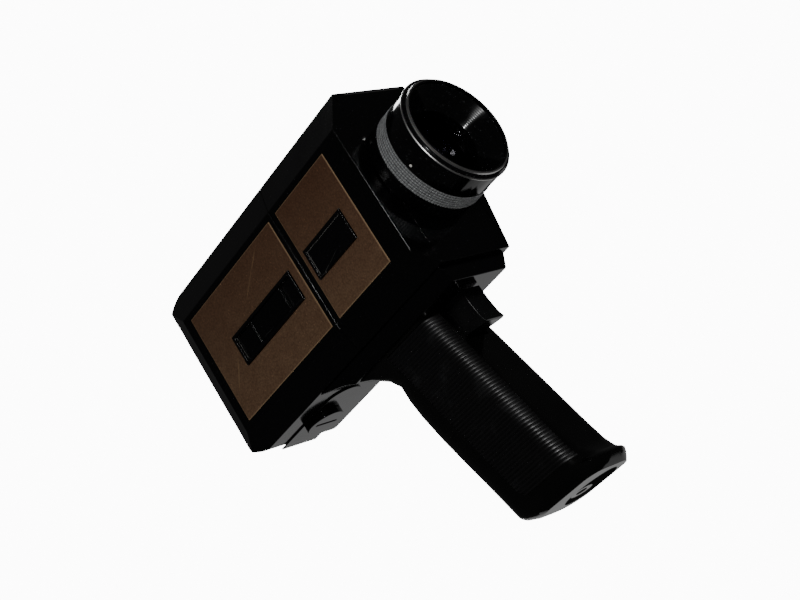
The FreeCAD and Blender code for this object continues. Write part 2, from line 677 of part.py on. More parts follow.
def make_right_cover():
    body = inner_body("right_cover_outer")
    near = "(-seam / 2)"
    pad(body, "side", seam_loop(FRONT, near), DOOR_X, SIDE_X)
    side_wedges(body)
    soften(body, "soften", outer_edge)
    cloth_recess(body, FRONT_CLOTH_Y, "front_cloth_long")
    slot = rectangle((f"{BOLT_X} - seam", f"{FRAME_MID} - bolt_half - seam"),
                     (f"{BOLT_X} + bolt_thick + seam", f"{FRAME_MID} + bolt_half + seam"))
    pocket(body, "front", slot, f"{SEAM_Y} - wall * 2", f"{SEAM_Y} + 1")
    room = inner_body("right_cover_room")
    loop = seam_loop(f"{FRONT} + wall", f"({near} - {SEAM_SHIFT})")
    pad(room, "side", loop, f"{DOOR_X} + wall", f"{SIDE_X} + 1")
    side_wedges(room, "wall")
    keep("right_cover", cut(body, room))


def make_film_door():
    body = inner_body("film_door_outer")
    near = "(seam / 2)"
    pad(body, "side", seam_loop(REAR, near), DOOR_X, SIDE_X)
    cut_rear_corners(body, f"{DOOR_X} - 1", f"{SIDE_X} + 1", TOP)
    side_wedges(body)
    rear_wedge(body)
    soften(body, "soften", outer_edge)
    cloth_recess(body, REAR_CLOTH_Y, "rear_cloth_long")
    center = (HINGE_X, HINGE_Y)
    round_pad(body, "top", center, "hinge_radius", f"{MIDDLE} - hinge_half", f"{MIDDLE} + hinge_half")
    reach = "(hinge_radius + seam)"
    notch = rectangle((f"{HINGE_X} - {reach}", f"{HINGE_Y} - {reach}"), (f"{SIDE_X} + 1", f"{REAR} + 2"))
    end = "hinge_half + hinge_end + seam"
    pocket(body, "top", notch, f"{MIDDLE} + hinge_half", f"{MIDDLE} + {end}")
    pocket(body, "top", notch, f"{MIDDLE} - ({end})", f"{MIDDLE} - hinge_half")
    hole = (f"{MIDDLE} - hinge_half - 1", f"{MIDDLE} + hinge_half + 1")
    round_pocket(body, "top", center, "door_pin + running", *hole)
    cut_latch_slots(body)
    room = inner_body("film_door_room")
    loop = seam_loop(f"{REAR} - wall", f"({near} + {SEAM_SHIFT})")
    pad(room, "side", loop, f"{DOOR_X} + wall", f"{SIDE_X} + 1")
    side_wedges(room, "wall")
    rear_wedge(room, "wall")
    keep("film_door", cut(body, room))


def cut_latch_slots(body):
    """Slot of the slider's stem in the door's face, and the bolt's hole in its front edge."""
    slot = rectangle((f"{STEM_Y} - latch_travel - seam", f"{FRAME_MID} - bolt_half - seam"),
                     (f"{STEM_Y} + stem_long + seam", f"{FRAME_MID} + bolt_half + seam"))
    pocket(body, "side", slot, f"{DOOR_X} - 1", f"{DOOR_X} + wall + 0.1")
    hole = rectangle((f"{BOLT_X} - seam", f"{FRAME_MID} - bolt_half - seam"),
                     (f"{BOLT_X} + bolt_thick + seam", f"{FRAME_MID} + bolt_half + seam"))
    pocket(body, "front", hole, f"{SEAM_Y} - 1", f"{SEAM_Y} + seam + wall * 2")


STEM_Y = f"({SLIDER_Y} + slider_long / 2 - stem_long / 2)"


def left_loop(shift):
    """Front view of the left side: two leaning faces each side of the middle."""
    knee = f"flat_half + left_lean - {shift}"
    side = f"flat_half + seam - {shift}"
    return [(side, BOTTOM), (knee, f"{BOTTOM} + knee_rise"), (f"flat_half + left_depth - {shift}", MIDDLE),
            (knee, f"{TOP} - knee_rise"), (side, TOP)]


def make_left_cover():
    body = inner_body("left_cover_outer")
    pad(body, "front", left_loop("0"), FRONT, REAR)
    cut_rear_corners(body, "flat_half - 1", "flat_half + left_depth + 1", TOP)
    front = -size("front_overhang") + 0.01
    side = size("flat_half") + size("seam") + 0.01
    soften(body, "soften / 2", lambda edge: edge.CenterOfMass.y < front and edge.CenterOfMass.x > side)
    room = inner_body("left_cover_room")
    pad(room, "front", left_loop("wall * 1.03"), f"{FRONT} + wall", f"{REAR} - wall")
    keep("left_cover", cut(body, room))


def make_top_cover():
    edge = f"{REAR} - corner_round"
    cover = block(("-flat_half", FRONT, ROOF), ("flat_half", edge, TOP))
    keep("top_cover", cover)


def make_front_plate():
    body = new_body("front_plate")
    pad(body, "front", rectangle(("-flat_half", BOTTOM), ("flat_half", ROOF)), FRONT, SHELL_FRONT)
    round_pocket(body, "front", ("0", LENS_Z), "spigot_radius + fit", f"{FRONT} - 1", f"{SHELL_FRONT} + 1")
    groove = rectangle(("-trim_left", f"{ROOF} - trim_height"), ("trim_right", f"{ROOF} + 1"))
    pocket(body, "front", groove, f"{FRONT} - 1", f"{FRONT} + trim_depth")


def make_front_trim():
    low = ("-trim_left", f"{FRONT} - trim_height / 2", f"{ROOF} - trim_height")
    keep("front_trim", block(low, ("trim_right", f"{FRONT} + trim_depth", ROOF)))


# Leatherette, badge and latch

def make_cloth(node, start, long, hole_start, hole_long):
    """Leatherette panel with a hole for its frame."""
    body = new_body(node)
    outer = f"{RECESS_X} - cloth"
    loop = rectangle((f"{start} + fit", f"{CLOTH_LOW} + fit"),
                     (f"{start} + {long} - fit", f"{CLOTH_TOP} - fit"))
    pad(body, "side", loop, outer, RECESS_X)
    hole = rectangle((f"{hole_start} - fit", f"{FRAME_LOW} - fit"),
                     (f"{hole_start} + {hole_long} + fit", f"{FRAME_TOP} + fit"))
    pocket(body, "side", hole, f"{outer} - 1", f"{RECESS_X} + 1")


def make_frame(node, start, long, field):
    """Frame around a window, or around a sunk field."""
    body = new_body(node)
    outer = f"{RECESS_X} - frame_thick"
    pad(body, "side", rectangle((start, FRAME_LOW), (f"{start} + {long}", FRAME_TOP)), outer, RECESS_X)
    window = rectangle((f"{start} + frame_rim", f"{FRAME_LOW} + frame_rim"),
                       (f"{start} + {long} - frame_rim", f"{FRAME_TOP} - frame_rim"))
    pocket(body, "side", window, f"{outer} - 1", f"{RECESS_X} + {field}")
    limit = size("recess") - size("flat_half") - size("door_depth") - size("frame_thick") + 0.01
    soften(body, "frame_rim / 4", lambda edge: edge.CenterOfMass.x < limit)


def make_latch_slider():
    """Slider plate with a raised lip at each end, and its stem and bolt inside."""
    body = new_body("latch_slider")
    back = f"{RECESS_X} - fit"
    face = f"{back} - slider_thick"
    low = f"{FRAME_LOW} + frame_rim + seam"
    high = f"{FRAME_TOP} - frame_rim - seam"
    end = f"{SLIDER_Y} + slider_long"
    pad(body, "side", rectangle((SLIDER_Y, low), (end, high)), face, back)
    for lip in (SLIDER_Y, f"{end} - frame_rim / 2"):
        ridge = rectangle((lip, low), (f"{lip} + frame_rim / 2", high))
        pad(body, "side", ridge, f"{face} - slider_thick / 2", face)
    stem = rectangle((STEM_Y, f"{FRAME_MID} - bolt_half"),
                     (f"{STEM_Y} + stem_long", f"{FRAME_MID} + bolt_half"))
    pad(body, "side", stem, back, f"{BOLT_X} + bolt_thick")
    bolt = rectangle((f"{SEAM_Y} + seam * 2", f"{FRAME_MID} - bolt_half"),
                     (f"{STEM_Y} + stem_long", f"{FRAME_MID} + bolt_half"))
    pad(body, "side", bolt, BOLT_X, f"{BOLT_X} + bolt_thick")


def make_cartridge_spring():
    """Bowed leaf inside the door that holds the cartridge."""
    body = new_body("cartridge_spring")
    root = f"{DOOR_X} + wall"
    crown = "-web_side - spring_reach"
    start = f"{SEAM_Y} + 26"
    run = [("0", root), ("6", root), ("16", crown), ("28", crown), ("38", root), ("44", root)]
    near = [(x, f"{start} + {y}") for y, x in run]
    far = [(f"{x} + spring_thick", y) for x, y in reversed(near)]
    pad(body, "top", near + far, f"{MIDDLE} + 6", f"{MIDDLE} + 18")


def make_door_pin():
    reach = "(hinge_half + hinge_end)"
    pin = rod("z", (HINGE_X, HINGE_Y), "door_pin", f"{MIDDLE} - {reach}", f"{MIDDLE} + {reach}")
    keep("door_hinge_pin", pin)


# Lens, in a frame on the lens axis with Y as in the whole camera

RING_Y = f"({FRONT} - barrel_long - ring_gap)"
RING_END = f"({RING_Y} - ring_long)"
HOOD_Y = f"({RING_END} - ring_gap)"
BRIGHT_Y = f"({HOOD_Y} - hood_long)"
NOSE_Y = f"({BRIGHT_Y} - hood_ring - hood_nose)"
CORE_END = f"({HOOD_Y} - 1)"
GLASS_Y = f"({FRONT} - tube_front - front_glass)"
TUBE_Y = f"({FRONT} - tube_front)"
TUBE_END = f"({FRONT} + tube_back)"


def lens_body(node):
    return new_body(node, ("0", "0", LENS_Z))


def make_lens_barrel():
    """Fixed barrel with the core tube that carries the hood."""
    step = f"{FRONT} - barrel_long"
    inner = "tube_radius + seam * 2"
    lathe(lens_body("lens_barrel"),
          [(inner, SHELL_FRONT), ("spigot_radius", SHELL_FRONT), ("spigot_radius", FRONT),
           ("barrel_radius - soften", FRONT), ("barrel_radius", f"{FRONT} - soften"),
           ("barrel_radius", f"{step} + soften / 2"), ("barrel_radius - soften / 2", step),
           ("core_radius", step), ("core_radius", CORE_END), ("core_bore", CORE_END),
           ("core_bore", f"{FRONT} - wall"), (inner, f"{FRONT} - wall")])


def knurl_shape():
    """Ring with fine teeth along the lens axis, crossed by pointed grooves around it."""
    outer = size("ring_radius")
    count = int(size("knurl_teeth"))
    step = 2 * math.pi / count
    points = []
    for k in range(count):
        for share, drop in ((-0.32, 1), (-0.12, 0), (0.12, 0), (0.32, 1)):
            radius = outer - drop * size("knurl_depth")
            angle = (k + share) * step
            points.append(Vector(radius * math.cos(angle), 0, radius * math.sin(angle)))
    rim = Part.Face(Part.makePolygon(points + points[:1]))
    ring = rim.extrude(Vector(0, -size("ring_long"), 0))
    bore = size("core_radius") + size("seam")
    ring = ring.cut(Part.makeCylinder(bore, size("ring_long") + 2, Vector(0, 1, 0), Vector(0, -1, 0)))
    grooves = int(size("ring_grooves"))
    pitch = size("ring_long") / (grooves + 0.6)
    half = size("groove_half")
    for k in range(grooves):
        middle = -(k + 0.8) * pitch
        corners = [Vector(outer - size("groove_depth"), middle, 0), Vector(outer + 0.01, middle - half, 0),
                   Vector(outer + 0.01, middle + half, 0)]
        groove = Part.Face(Part.makePolygon(corners + corners[:1])).revolve(Vector(), Vector(0, 1, 0), 360)
        ring = ring.cut(groove)
    return ring


def make_zoom_ring():
    fixed("zoom_ring", knurl_shape(), (0, number(RING_Y), number(LENS_Z)))


def make_lens_hood():
    """Hood that flares to the bright ring, with a filter thread and a black cone inside."""
    seat = f"{BRIGHT_Y} - hood_ring"
    lathe(lens_body("lens_hood"),
          [("core_radius + fit", HOOD_Y), ("barrel_radius - 0.3", HOOD_Y),
           ("barrel_radius", f"{HOOD_Y} - 0.3"),
           ("barrel_radius + 0.1", f"{HOOD_Y} - hood_long * 0.45"), ("hood_radius - 0.2", BRIGHT_Y),
           ("hood_radius - 0.8", BRIGHT_Y), ("hood_radius - 0.8", seat), ("hood_radius - 0.2", seat),
           ("hood_radius - 0.9", f"{seat} - hood_nose * 0.45"), (RIM_SEAT, f"{NOSE_Y} + hood_ring"),
           (RIM_SEAT, NOSE_Y), ("thread_radius", NOSE_Y), ("thread_radius", f"{NOSE_Y} + thread_long"),
           ("thread_radius - 0.2", f"{NOSE_Y} + thread_long"),
           ("cone_radius", f"{NOSE_Y} + thread_long + cone_long"), ("cone_radius", f"{CORE_END} - 0.4"),
           ("core_radius + fit", f"{CORE_END} - 0.4")])


RIM_SEAT = "(rim_radius - 0.9)"


def make_bright_rings():
    seat = "hood_radius - 0.8 + fit"
    low = f"{BRIGHT_Y} - hood_ring + 0.02"
    high = f"{BRIGHT_Y} - 0.02"
    lathe(lens_body("hood_ring"),
          [(seat, low), ("hood_radius", low), ("hood_radius + 0.2", f"{low} + 0.2"),
           ("hood_radius + 0.2", f"{high} - 0.2"), ("hood_radius", high), (seat, high)])
    base = f"{NOSE_Y} + hood_ring - 0.05"
    tip = f"{NOSE_Y} - 0.1"
    lathe(lens_body("rim_ring"), [(f"{RIM_SEAT} + fit", base), (f"{RIM_SEAT} + 0.9", base),
                                  (f"{RIM_SEAT} + 0.7", f"{tip} + 0.2"), (f"{RIM_SEAT} + fit", tip)])


def crown(radius, rise, start, way, steps=6):
    """Formula points of a shallow dome, from its edge to the axis."""
    points = []
    for k in range(steps + 1):
        share = k / steps
        points.append((f"{radius} * {round(1 - share, 4)}",
                       f"{start} + {way} * {rise} * {round(1 - (1 - share) ** 2, 4)}"))
    return points


def make_glasses():
    """Front lens, zoom lens and rear lens."""
    radius = "(core_bore - fit)"
    back = [("0", f"{GLASS_Y} + front_glass"), (radius, f"{GLASS_Y} + front_glass")]
    lathe(lens_body("front_lens"), back + crown(radius, "glass_crown", GLASS_Y, -1))
    radius = "(tube_radius - tube_wall - cell_wall - fit)"
    zoom = f"{CELL_Y} + 2"
    thick = "(cell_long - 4)"
    back = [("0", f"{zoom} + {thick}"), (radius, f"{zoom} + {thick}")]
    lathe(lens_body("zoom_lens"), back + crown(radius, "glass_crown / 2", zoom, -1))
    radius = "(rear_glass - fit)"
    start = f"({REAR_GLASS_Y} + 0.5)"
    back = [("0", f"{start} + rear_glass_long"), (radius, f"{start} + rear_glass_long")]
    lathe(lens_body("rear_lens"), back + crown(radius, "glass_crown / 4", start, -1))


CELL_Y = f"({TUBE_Y} + cell_start)"
REAR_GLASS_Y = f"({BEAM_Y} + prism_side + 1)"


def make_lens_tube():
    """Inner tube with a flange in the core, open for the zoom cell."""
    inner = "tube_radius - tube_wall"
    lathe(lens_body("lens_tube"),
          [(inner, TUBE_Y), ("core_bore - fit", TUBE_Y), ("core_bore - fit", f"{TUBE_Y} + 1.5"),
           ("tube_radius", f"{TUBE_Y} + 1.5"), ("tube_radius", TUBE_END), (inner, TUBE_END)])


def make_zoom_cell():
    outer = "tube_radius - tube_wall - fit"
    inner = "tube_radius - tube_wall - cell_wall"
    lathe(lens_body("zoom_cell"), [(inner, CELL_Y), (outer, CELL_Y),
                                   (outer, f"{CELL_Y} + cell_long"), (inner, f"{CELL_Y} + cell_long")])


# Light path behind the lens, and the finder

def make_optics_block():
    """Housing of the beam prism, with bores for the light to the film and up to the finder."""
    half = "(prism_side / 2 + block_wall)"
    low = f"{BEAM_Y} - block_wall"
    body = block((f"-{half}", low, f"{LENS_Z} - {half}"), (half, f"{REAR_GLASS_Y}", f"{LENS_Z} + {half}"))
    snout = rod("y", ("0", LENS_Z), "rear_glass + block_wall", REAR_GLASS_Y, SNOUT_END)
    room = "(prism_side / 2 + fit)"
    chamber = block((f"-{room}", f"{BEAM_Y} - fit", f"{LENS_Z} - {room}"),
                    (room, f"{BEAM_Y} + prism_side + fit", f"{LENS_Z} + {room}"))
    bore = rod("y", ("0", LENS_Z), "rear_glass", f"{low} - 1", f"{SNOUT_END} + 1")
    riser = rod("z", ("0", f"{BEAM_Y} + prism_side / 2"), "rear_glass", LENS_Z, f"{LENS_Z} + {half} + 1")
    keep("optics_block", cut(fuse(body, snout), chamber, bore, riser))


SNOUT_END = f"({REAR_GLASS_Y} + rear_glass_long + 1)"


def make_prisms():
    half = "prism_side / 2"
    low = (f"-{half}", BEAM_Y, f"{LENS_Z} - {half}")
    keep("beam_prism", block(low, (half, f"{BEAM_Y} + prism_side", f"{LENS_Z} + {half}")))
    body = new_body("finder_prism")
    front = f"{BEAM_Y} + 1"
    back = f"{BEAM_Y} + prism_side - 1"
    low = f"{FINDER_Z} - prism_side / 2 + 1"
    high = f"{ROOF} - wall - fit"
    wedge = [(back, low), (back, high), (f"{back} - 1", high), (front, f"{low} + 0.5"), (front, low)]
    pad(body, "side", wedge, "1 - prism_side / 2", "prism_side / 2 - 1")


def make_finder():
    """Finder tube along the top, and the eyepiece with its dioptre ring and cup."""
    axis = ("0", FINDER_Z)
    start = f"{BEAM_Y} + prism_side"
    end = f"{REAR} - wall - 4"
    keep("finder_tube", tube("y", axis, "finder_radius", "finder_radius - inner_wall / 2", start, end))
    tail = f"{REAR} + eye_long"
    keep("eyepiece_tube", tube("y", axis, "eye_radius", "eye_radius - eye_wall", f"{end} + fit", tail))
    ring = f"{REAR} + seam"
    outer = "eyecup_radius - 1"
    keep("dioptre_ring", tube("y", axis, outer, "eye_radius + running * 2", ring, f"{ring} + dioptre_long"))
    cup = f"{ring} + dioptre_long + seam"
    collar = tube("y", axis, "eyecup_radius - 1.5", "eye_radius + fit", cup, tail)
    rim = tube("y", axis, "eyecup_radius", "eye_radius - eye_wall", f"{tail} + 0.05", f"{cup} + eyecup_long")
    web = tube("y", axis, "eyecup_radius - 1.5", "eye_radius + fit", f"{tail} - 0.5", f"{tail} + 0.5")
    keep("eyecup", fuse(collar, web, rim))
    lens = rod("y", axis, "eye_radius - eye_wall - fit", f"{tail} - 4", f"{tail} - 1")
    keep("eyepiece_lens", lens)


def make_film_gate():
    wide = "(aperture_wide + 2)"
    high = "(aperture_high * 2 + 2.6)"
    back = f"{CHAMBER_Y} - wall"
    plate = block((f"-{wide} - 1.6", f"{back} - gate_thick", f"{LENS_Z} - {high}"),
                  (wide, back, f"{LENS_Z} + {high}"))
    window = block(("-aperture_wide / 2", f"{back} - gate_thick - 1", f"{LENS_Z} - aperture_high / 2"),
                   ("aperture_wide / 2", f"{back} + 1", f"{LENS_Z} + aperture_high / 2"))
    slot = block((f"{CLAW_X} - 0.4", f"{back} - gate_thick - 1", f"{CLAW_Z} - 0.4"),
                 (f"{CLAW_X} + 1.6", f"{back} + 1", f"{CLAW_Z} + claw_travel + 1.4"))
    keep("film_gate", cut(plate, window, slot))


CLAW_X = "(-aperture_wide / 2 - 2.4)"
CLAW_Z = f"({LENS_Z} - 1)"
CLAW_Y = f"({CHAMBER_Y} - wall - gate_thick - 1.1)"


def make_claw():
    """Flat lever in front of the gate with a tip that reaches through to the film."""
    tip = block((CLAW_X, CLAW_Y, CLAW_Z), (f"{CLAW_X} + 1.2", f"{CHAMBER_Y} - 0.6", f"{CLAW_Z} + 1"))
    base = (f"{CLAW_X} - 3", CLAW_Y, f"{SHUTTER_Z} - 4")
    arm = block(base, (f"{CLAW_X} + 1.2", f"{CLAW_Y} + 0.8", f"{CLAW_Z} + 1"))
    foot = block(base, ("0", f"{CLAW_Y} + 0.8", f"{SHUTTER_Z} - 1.5"))
    keep("claw", fuse(tip, arm, foot))


# Gear train

def gear_face(teeth, phase):
    """Outline of a gear with straight-flanked teeth, seen along the lens axis."""
    module = size("tooth_module")
    pitch_radius = module * teeth / 2
    root = pitch_radius - module
    tip = pitch_radius + 0.7 * module
    points = []
    for k in range(teeth):
        for share, radius in ((-0.25, root), (-0.13, tip), (0.13, tip), (0.25, root)):
            angle = math.radians(phase + (k + share) * 360 / teeth)
            points.append(Vector(radius * math.cos(angle), 0, radius * math.sin(angle)))
    return Part.Face(Part.makePolygon(points + points[:1]))


def mesh_phase(phase, teeth, angle, next_teeth):
    """Phase of the next gear, whose gap meets a tooth of this one in the given direction."""
    share = ((angle - phase) * teeth / 360) % 1
    return angle + 180 - (0.5 - share) * 360 / next_teeth


def mechanism_numbers():
    """Place, teeth and phase of each gear of the train."""
    shutter = int(size("shutter_teeth"))
    idler = int(size("idler_teeth"))
    drive = int(size("drive_teeth"))
    pinion = int(size("pinion_teeth"))
    slope = -size("train_angle")
    side = -size("pinion_angle")
    idler_phase = mesh_phase(0, shutter, slope, idler)
    drive_phase = mesh_phase(idler_phase, idler, slope, drive)
    pinion_phase = mesh_phase(idler_phase, idler, side, pinion)
    return {"shutter": ((size("shutter_side"), number(SHUTTER_Z)), shutter, 0),
            "idler": ((number(IDLER_X), number(IDLER_Z)), idler, idler_phase),
            "drive": ((number(DRIVE_X), number(DRIVE_Z)), drive, drive_phase),
            "pinion": ((number(PINION_X), number(PINION_Z)), pinion, pinion_phase)}


def gear_y():
    """Front face of the gears, from the plate that carries them."""
    partition = size("seam_back") - size("front_overhang") + 0.6 - size("wall")
    return partition - size("plate_back") + size("plate_thick") + 1


def gear_on_shaft(name, shaft_radius, shaft_end):
    (x, z), teeth, phase = mechanism_numbers()[name]
    start = gear_y()
    gear = gear_face(teeth, phase).extrude(Vector(0, size("gear_wide"), 0))
    gear.translate(Vector(x, start, z))
    back = start - 1 - size("plate_thick")
    shaft = Part.makeCylinder(shaft_radius, shaft_end - back, Vector(x, back, z), Vector(0, 1, 0))
    return gear.fuse(shaft)


def disc_y():
    return size("seam_back") - size("front_overhang") + 0.6 - size("wall") - size("gate_thick") - 2.3


def make_shutter():
    """Gear, shaft and half disc that covers the film while it moves."""
    (x, z), teeth, phase = mechanism_numbers()["shutter"]
    start = disc_y()
    turning = gear_on_shaft("shutter", size("shaft_radius"), start + 0.5)
    disc = Part.makeCylinder(size("shutter_radius"), 0.5, Vector(x, start, z), Vector(0, 1, 0), 200)
    disc.rotate(Vector(x, start, z), Vector(0, 1, 0), -100)
    hub = Part.makeCylinder(3 * size("shaft_radius"), 0.5, Vector(x, start, z), Vector(0, 1, 0))
    fixed("shutter", turning.fuse([disc, hub]).removeSplitter())


def make_train():
    end = gear_y() + size("gear_wide") + 1
    fixed("idler_gear", gear_on_shaft("idler", size("shaft_radius"), end))
    (x, z), teeth, phase = mechanism_numbers()["drive"]
    middle = size("seam_back") - size("front_overhang") + size("spindle_back")
    long = size("worm_long")
    shaft = gear_on_shaft("drive", size("shaft_radius"), middle + long / 2 + 2)
    worm = Part.makeCylinder(size("worm_radius"), long, Vector(x, middle - long / 2, z), Vector(0, 1, 0))
    fixed("drive_shaft", shaft.fuse(worm))
    fixed("motor_pinion", gear_on_shaft("pinion", size("shaft_radius"), end))


def make_takeup():
    """Wheel on the drive shaft's worm, and the spindle that turns the cartridge's core."""
    x = mechanism_numbers()["drive"][0][0]
    z = mechanism_numbers()["drive"][0][1] + size("worm_radius") + size("seam") + size("wheel_radius")
    y = size("seam_back") - size("front_overhang") + size("spindle_back")
    outer = size("wheel_radius")
    count = int(size("wheel_teeth"))
    points = []
    for k in range(count):
        for share, radius in ((-0.3, outer - 1), (-0.15, outer), (0.15, outer), (0.3, outer - 1)):
            angle = math.radians((k + share) * 360 / count)
            points.append(Vector(x - 1, y + radius * math.cos(angle), z + radius * math.sin(angle)))
    wheel = Part.Face(Part.makePolygon(points + points[:1])).extrude(Vector(2, 0, 0))
    start = size("web_side") - 5
    spindle = Part.makeCylinder(size("spindle_radius"), x + 1 - start, Vector(start, y, z), Vector(1, 0, 0))
    key_low = Vector(start, y - size("spindle_radius") - 1, z - 0.6)
    key = Part.makeBox(3, 2 * size("spindle_radius") + 2, 1.2, key_low)
    fixed("takeup_spindle", wheel.fuse([spindle, key]))


def make_mechanism_plate():
    """Upright plate that carries the motor and the gear shafts."""
    low = (f"{PINION_X} - motor_radius", f"{PLATE_Y} - plate_thick", FLOOR)
    high = (f"{DRIVE_X} + 3", PLATE_Y, f"{SHUTTER_Z} + 3.2")
    plate = block(low, high)
    ends = (f"{PLATE_Y} - plate_thick - 1", f"{PLATE_Y} + 1")
    axes = [("shutter_side", SHUTTER_Z), (IDLER_X, IDLER_Z), (DRIVE_X, DRIVE_Z), (PINION_X, PINION_Z)]
    holes = [rod("y", center, "shaft_radius + running", *ends) for center in axes]
    keep("mechanism_plate", cut(plate, *holes))


def make_motor():
    end = f"{PLATE_Y} - plate_thick"
    motor = rod("y", (PINION_X, PINION_Z), "motor_radius", f"{end} - motor_long", f"{end} - fit")
    boss = rod("y", (PINION_X, PINION_Z), "motor_radius / 3",
               f"{end} - motor_long - 1.5", f"{end} - motor_long + 1")
    keep("motor", fuse(motor, boss))


def make_circuit_board():
    """Board on the left of the film chamber, with its packages."""
    near = "web_side + wall + seam"
    low = f"{SPINDLE_Z} + wheel_radius + 4"
    board = block((near, f"{CHAMBER_Y} + 6", low),
                  (f"{near} + inner_wall", f"{CHAMBER_END} - 4", f"{SHELF} - 1"))
    top = f"{near} + inner_wall"
    chips = []
    for k in range(3):
        start = f"{CHAMBER_Y} + {12 + 18 * k}"
        chips.append(block((f"{top} - 0.2", start, f"{low} + 5"),
                           (f"{top} + 2.5", f"{start} + 11", f"{low} + 12")))
    keep("circuit_board", fuse(board, *chips))


# Controls on the rear

def make_counter():
    hub = rod("y", (DIAL_X, DIAL_Z), "shaft_radius", f"{REAR} - wall - 1.2", f"{REAR} - 0.8")
    dial = rod("y", (DIAL_X, DIAL_Z), "dial_radius", f"{REAR} - wall - 1.2", f"{REAR} - wall - seam")
    keep("counter_dial", fuse(hub, dial))
    window = rod("y", (DIAL_X, WINDOW_Z), "window_radius", f"{REAR} - wall + 0.2", f"{REAR} - 0.2")
    keep("counter_window", window)


def make_run_knob():
    """Knob with a finger bar across its face."""
    start = f"{REAR} + seam"
    disc = rod("y", (KNOB_X, KNOB_Z), "knob_radius", start, f"{start} + knob_long / 2")
    shaft = rod("y", (KNOB_X, KNOB_Z), "spindle_radius", f"{REAR} - wall - 2", f"{start} + 1")
    low = (f"{KNOB_X} - knob_radius / 3", f"{start} + 1", f"{KNOB_Z} - knob_radius * 0.9")
    high = (f"{KNOB_X} + knob_radius / 3", f"{start} + knob_long", f"{KNOB_Z} + knob_radius * 0.9")
    keep("run_knob", fuse(disc, shaft, block(low, high)))


def make_screws():
    """Four case screws with slotted heads."""
    screws = []
    for center in SCREWS:
        x, z = center
        head = rod("y", center, "screw_radius", f"{REAR} - screw_high", REAR)
        slot = block((f"{x} - 0.3", f"{REAR} - 0.5", f"{z} - screw_radius - 1"),
                     (f"{x} + 0.3", f"{REAR} + 1", f"{z} + screw_radius + 1"))
        screws.append(cut(head, slot))
    keep("case_screws", group(*screws))


# Grip: sections at levels from the foot up

# Toe lip: level as a share of its height, its reach as a share of the toe's, rear and side insets
FOOT = [(0.0, 0.18, 10.5, 2.2), (0.23, 0.5, 6.0, 0.8), (0.58, 0.85, 2.0, 0.1), (0.9, 1.0, 0.4, 0.0),
        (1.08, 0.93, 0.0, 0.0), (1.25, 0.74, 0.0, 0.0), (1.46, 0.52, 0.0, 0.0), (1.92, 0.31, 0.0, 0.0),
        (2.54, 0.1, 0.0, 0.0)]
# Hand: share of the height between the foot and the arch, share of the palm swell
HAND = [(0.16, 0.1), (0.36, 0.5), (0.575, 0.6), (0.766, 0.1), (0.89, -1.0), (1.0, -3.0)]
# Arch: share of its height, share of its reach, share of the back corner's radius
ARCH = [(0.25, 0.07, 0.75), (0.5, 0.23, 0.35), (0.652, 0.41, 0.2), (0.79, 0.57, 0.2), (1.0, 1.0, 0.2)]


def grip_line(level):
    return size("grip_lean") * level - size("grip_front")


def stations():
    """Level, front, rear, half width, front and back corner radius of each section."""
    depth = size("grip_depth")
    half = size("grip_half")
    toe = size("toe_high")
    rows = []
    for share, reach, rear_inset, side_inset in FOOT:
        level = share * toe
        front = grip_line(level) - reach * size("toe_reach")
        rear = grip_line(level) + depth - rear_inset
        corner = size("front_corner") + min(1, reach * 1.4) * (size("toe_corner") - size("front_corner"))
        back_corner = size("back_corner")
        rows.append((level, front, rear, half - side_inset, corner - side_inset, back_corner - side_inset))
    foot = rows[-1][0]
    arch = size("grip_height") - size("arch_high")
    for share, swell in HAND:
        level = foot + share * (arch - foot)
        rear = grip_line(level) + depth + swell * size("palm_swell")
        rows.append((level, grip_line(level), rear, half, size("front_corner"), size("back_corner")))
    base = rows[-1][2]
    for share, reach, corner in ARCH:
        level = arch + share * size("arch_high")
        rear = base + reach * size("arch_long")
        rows.append((level, grip_line(level), rear, half, size("front_corner"), corner * size("back_corner")))
    return rows


def section_at(level):
    """Section between the two nearest stations."""
    rows = stations()
    for low, high in zip(rows, rows[1:]):
        if level <= high[0]:
            break
    share = (level - low[0]) / (high[0] - low[0])
    return tuple(a + share * (b - a) for a, b in zip(low, high))


def section_wire(section, inset):
    """Rounded rectangle of eight edges, in one order at every level."""
    level, front, rear, half, front_radius, back_radius = section
    front += inset
    rear -= inset
    half -= inset
    near = max(front_radius - inset, 0.5)
    far = min(max(back_radius - inset, 0.5), half - 0.05)
    corners = [(-half, front, near, 180), (half, front, near, 270),
               (half, rear, far, 0), (-half, rear, far, 90)]
    arcs = []
    for x, y, radius, start in corners:
        center = Vector(x - math.copysign(radius, x), y + (radius if y == front else -radius), level)
        circle = Part.Circle(center, Vector(0, 0, 1), radius)
        arcs.append(Part.Arc(circle, math.radians(start), math.radians(start + 90)).toShape())
    edges = []
    for arc, following in zip(arcs, arcs[1:] + arcs[:1]):
        edges.append(arc)
        edges.append(Part.LineSegment(arc.Vertexes[-1].Point, following.Vertexes[0].Point).toShape())
    return Part.Wire(edges)


def grip_loft(low, high, inset):
    levels = [low] + [row[0] for row in stations() if low + 0.01 < row[0] < high - 0.01] + [high]
    return Part.makeLoft([section_wire(section_at(level), inset) for level in levels], True, True)


def insert_span():
    return size("insert_low"), size("grip_height") - size("insert_drop")


def ribbed_loft():
    """Outer form of the inserts: a groove between each two ribs."""
    low, high = insert_span()
    count = int((high - low) / size("rib_pitch"))
    pitch = (high - low) / count
    wires = [section_wire(section_at(low), size("rib_depth"))]
    for k in range(count):
        for share, drop in ((0.3, 0), (0.7, 0), (1.0, 1)):
            level = low + (k + share) * pitch
            wires.append(section_wire(section_at(level), drop * size("rib_depth")))
    return Part.makeLoft(wires, True, True)


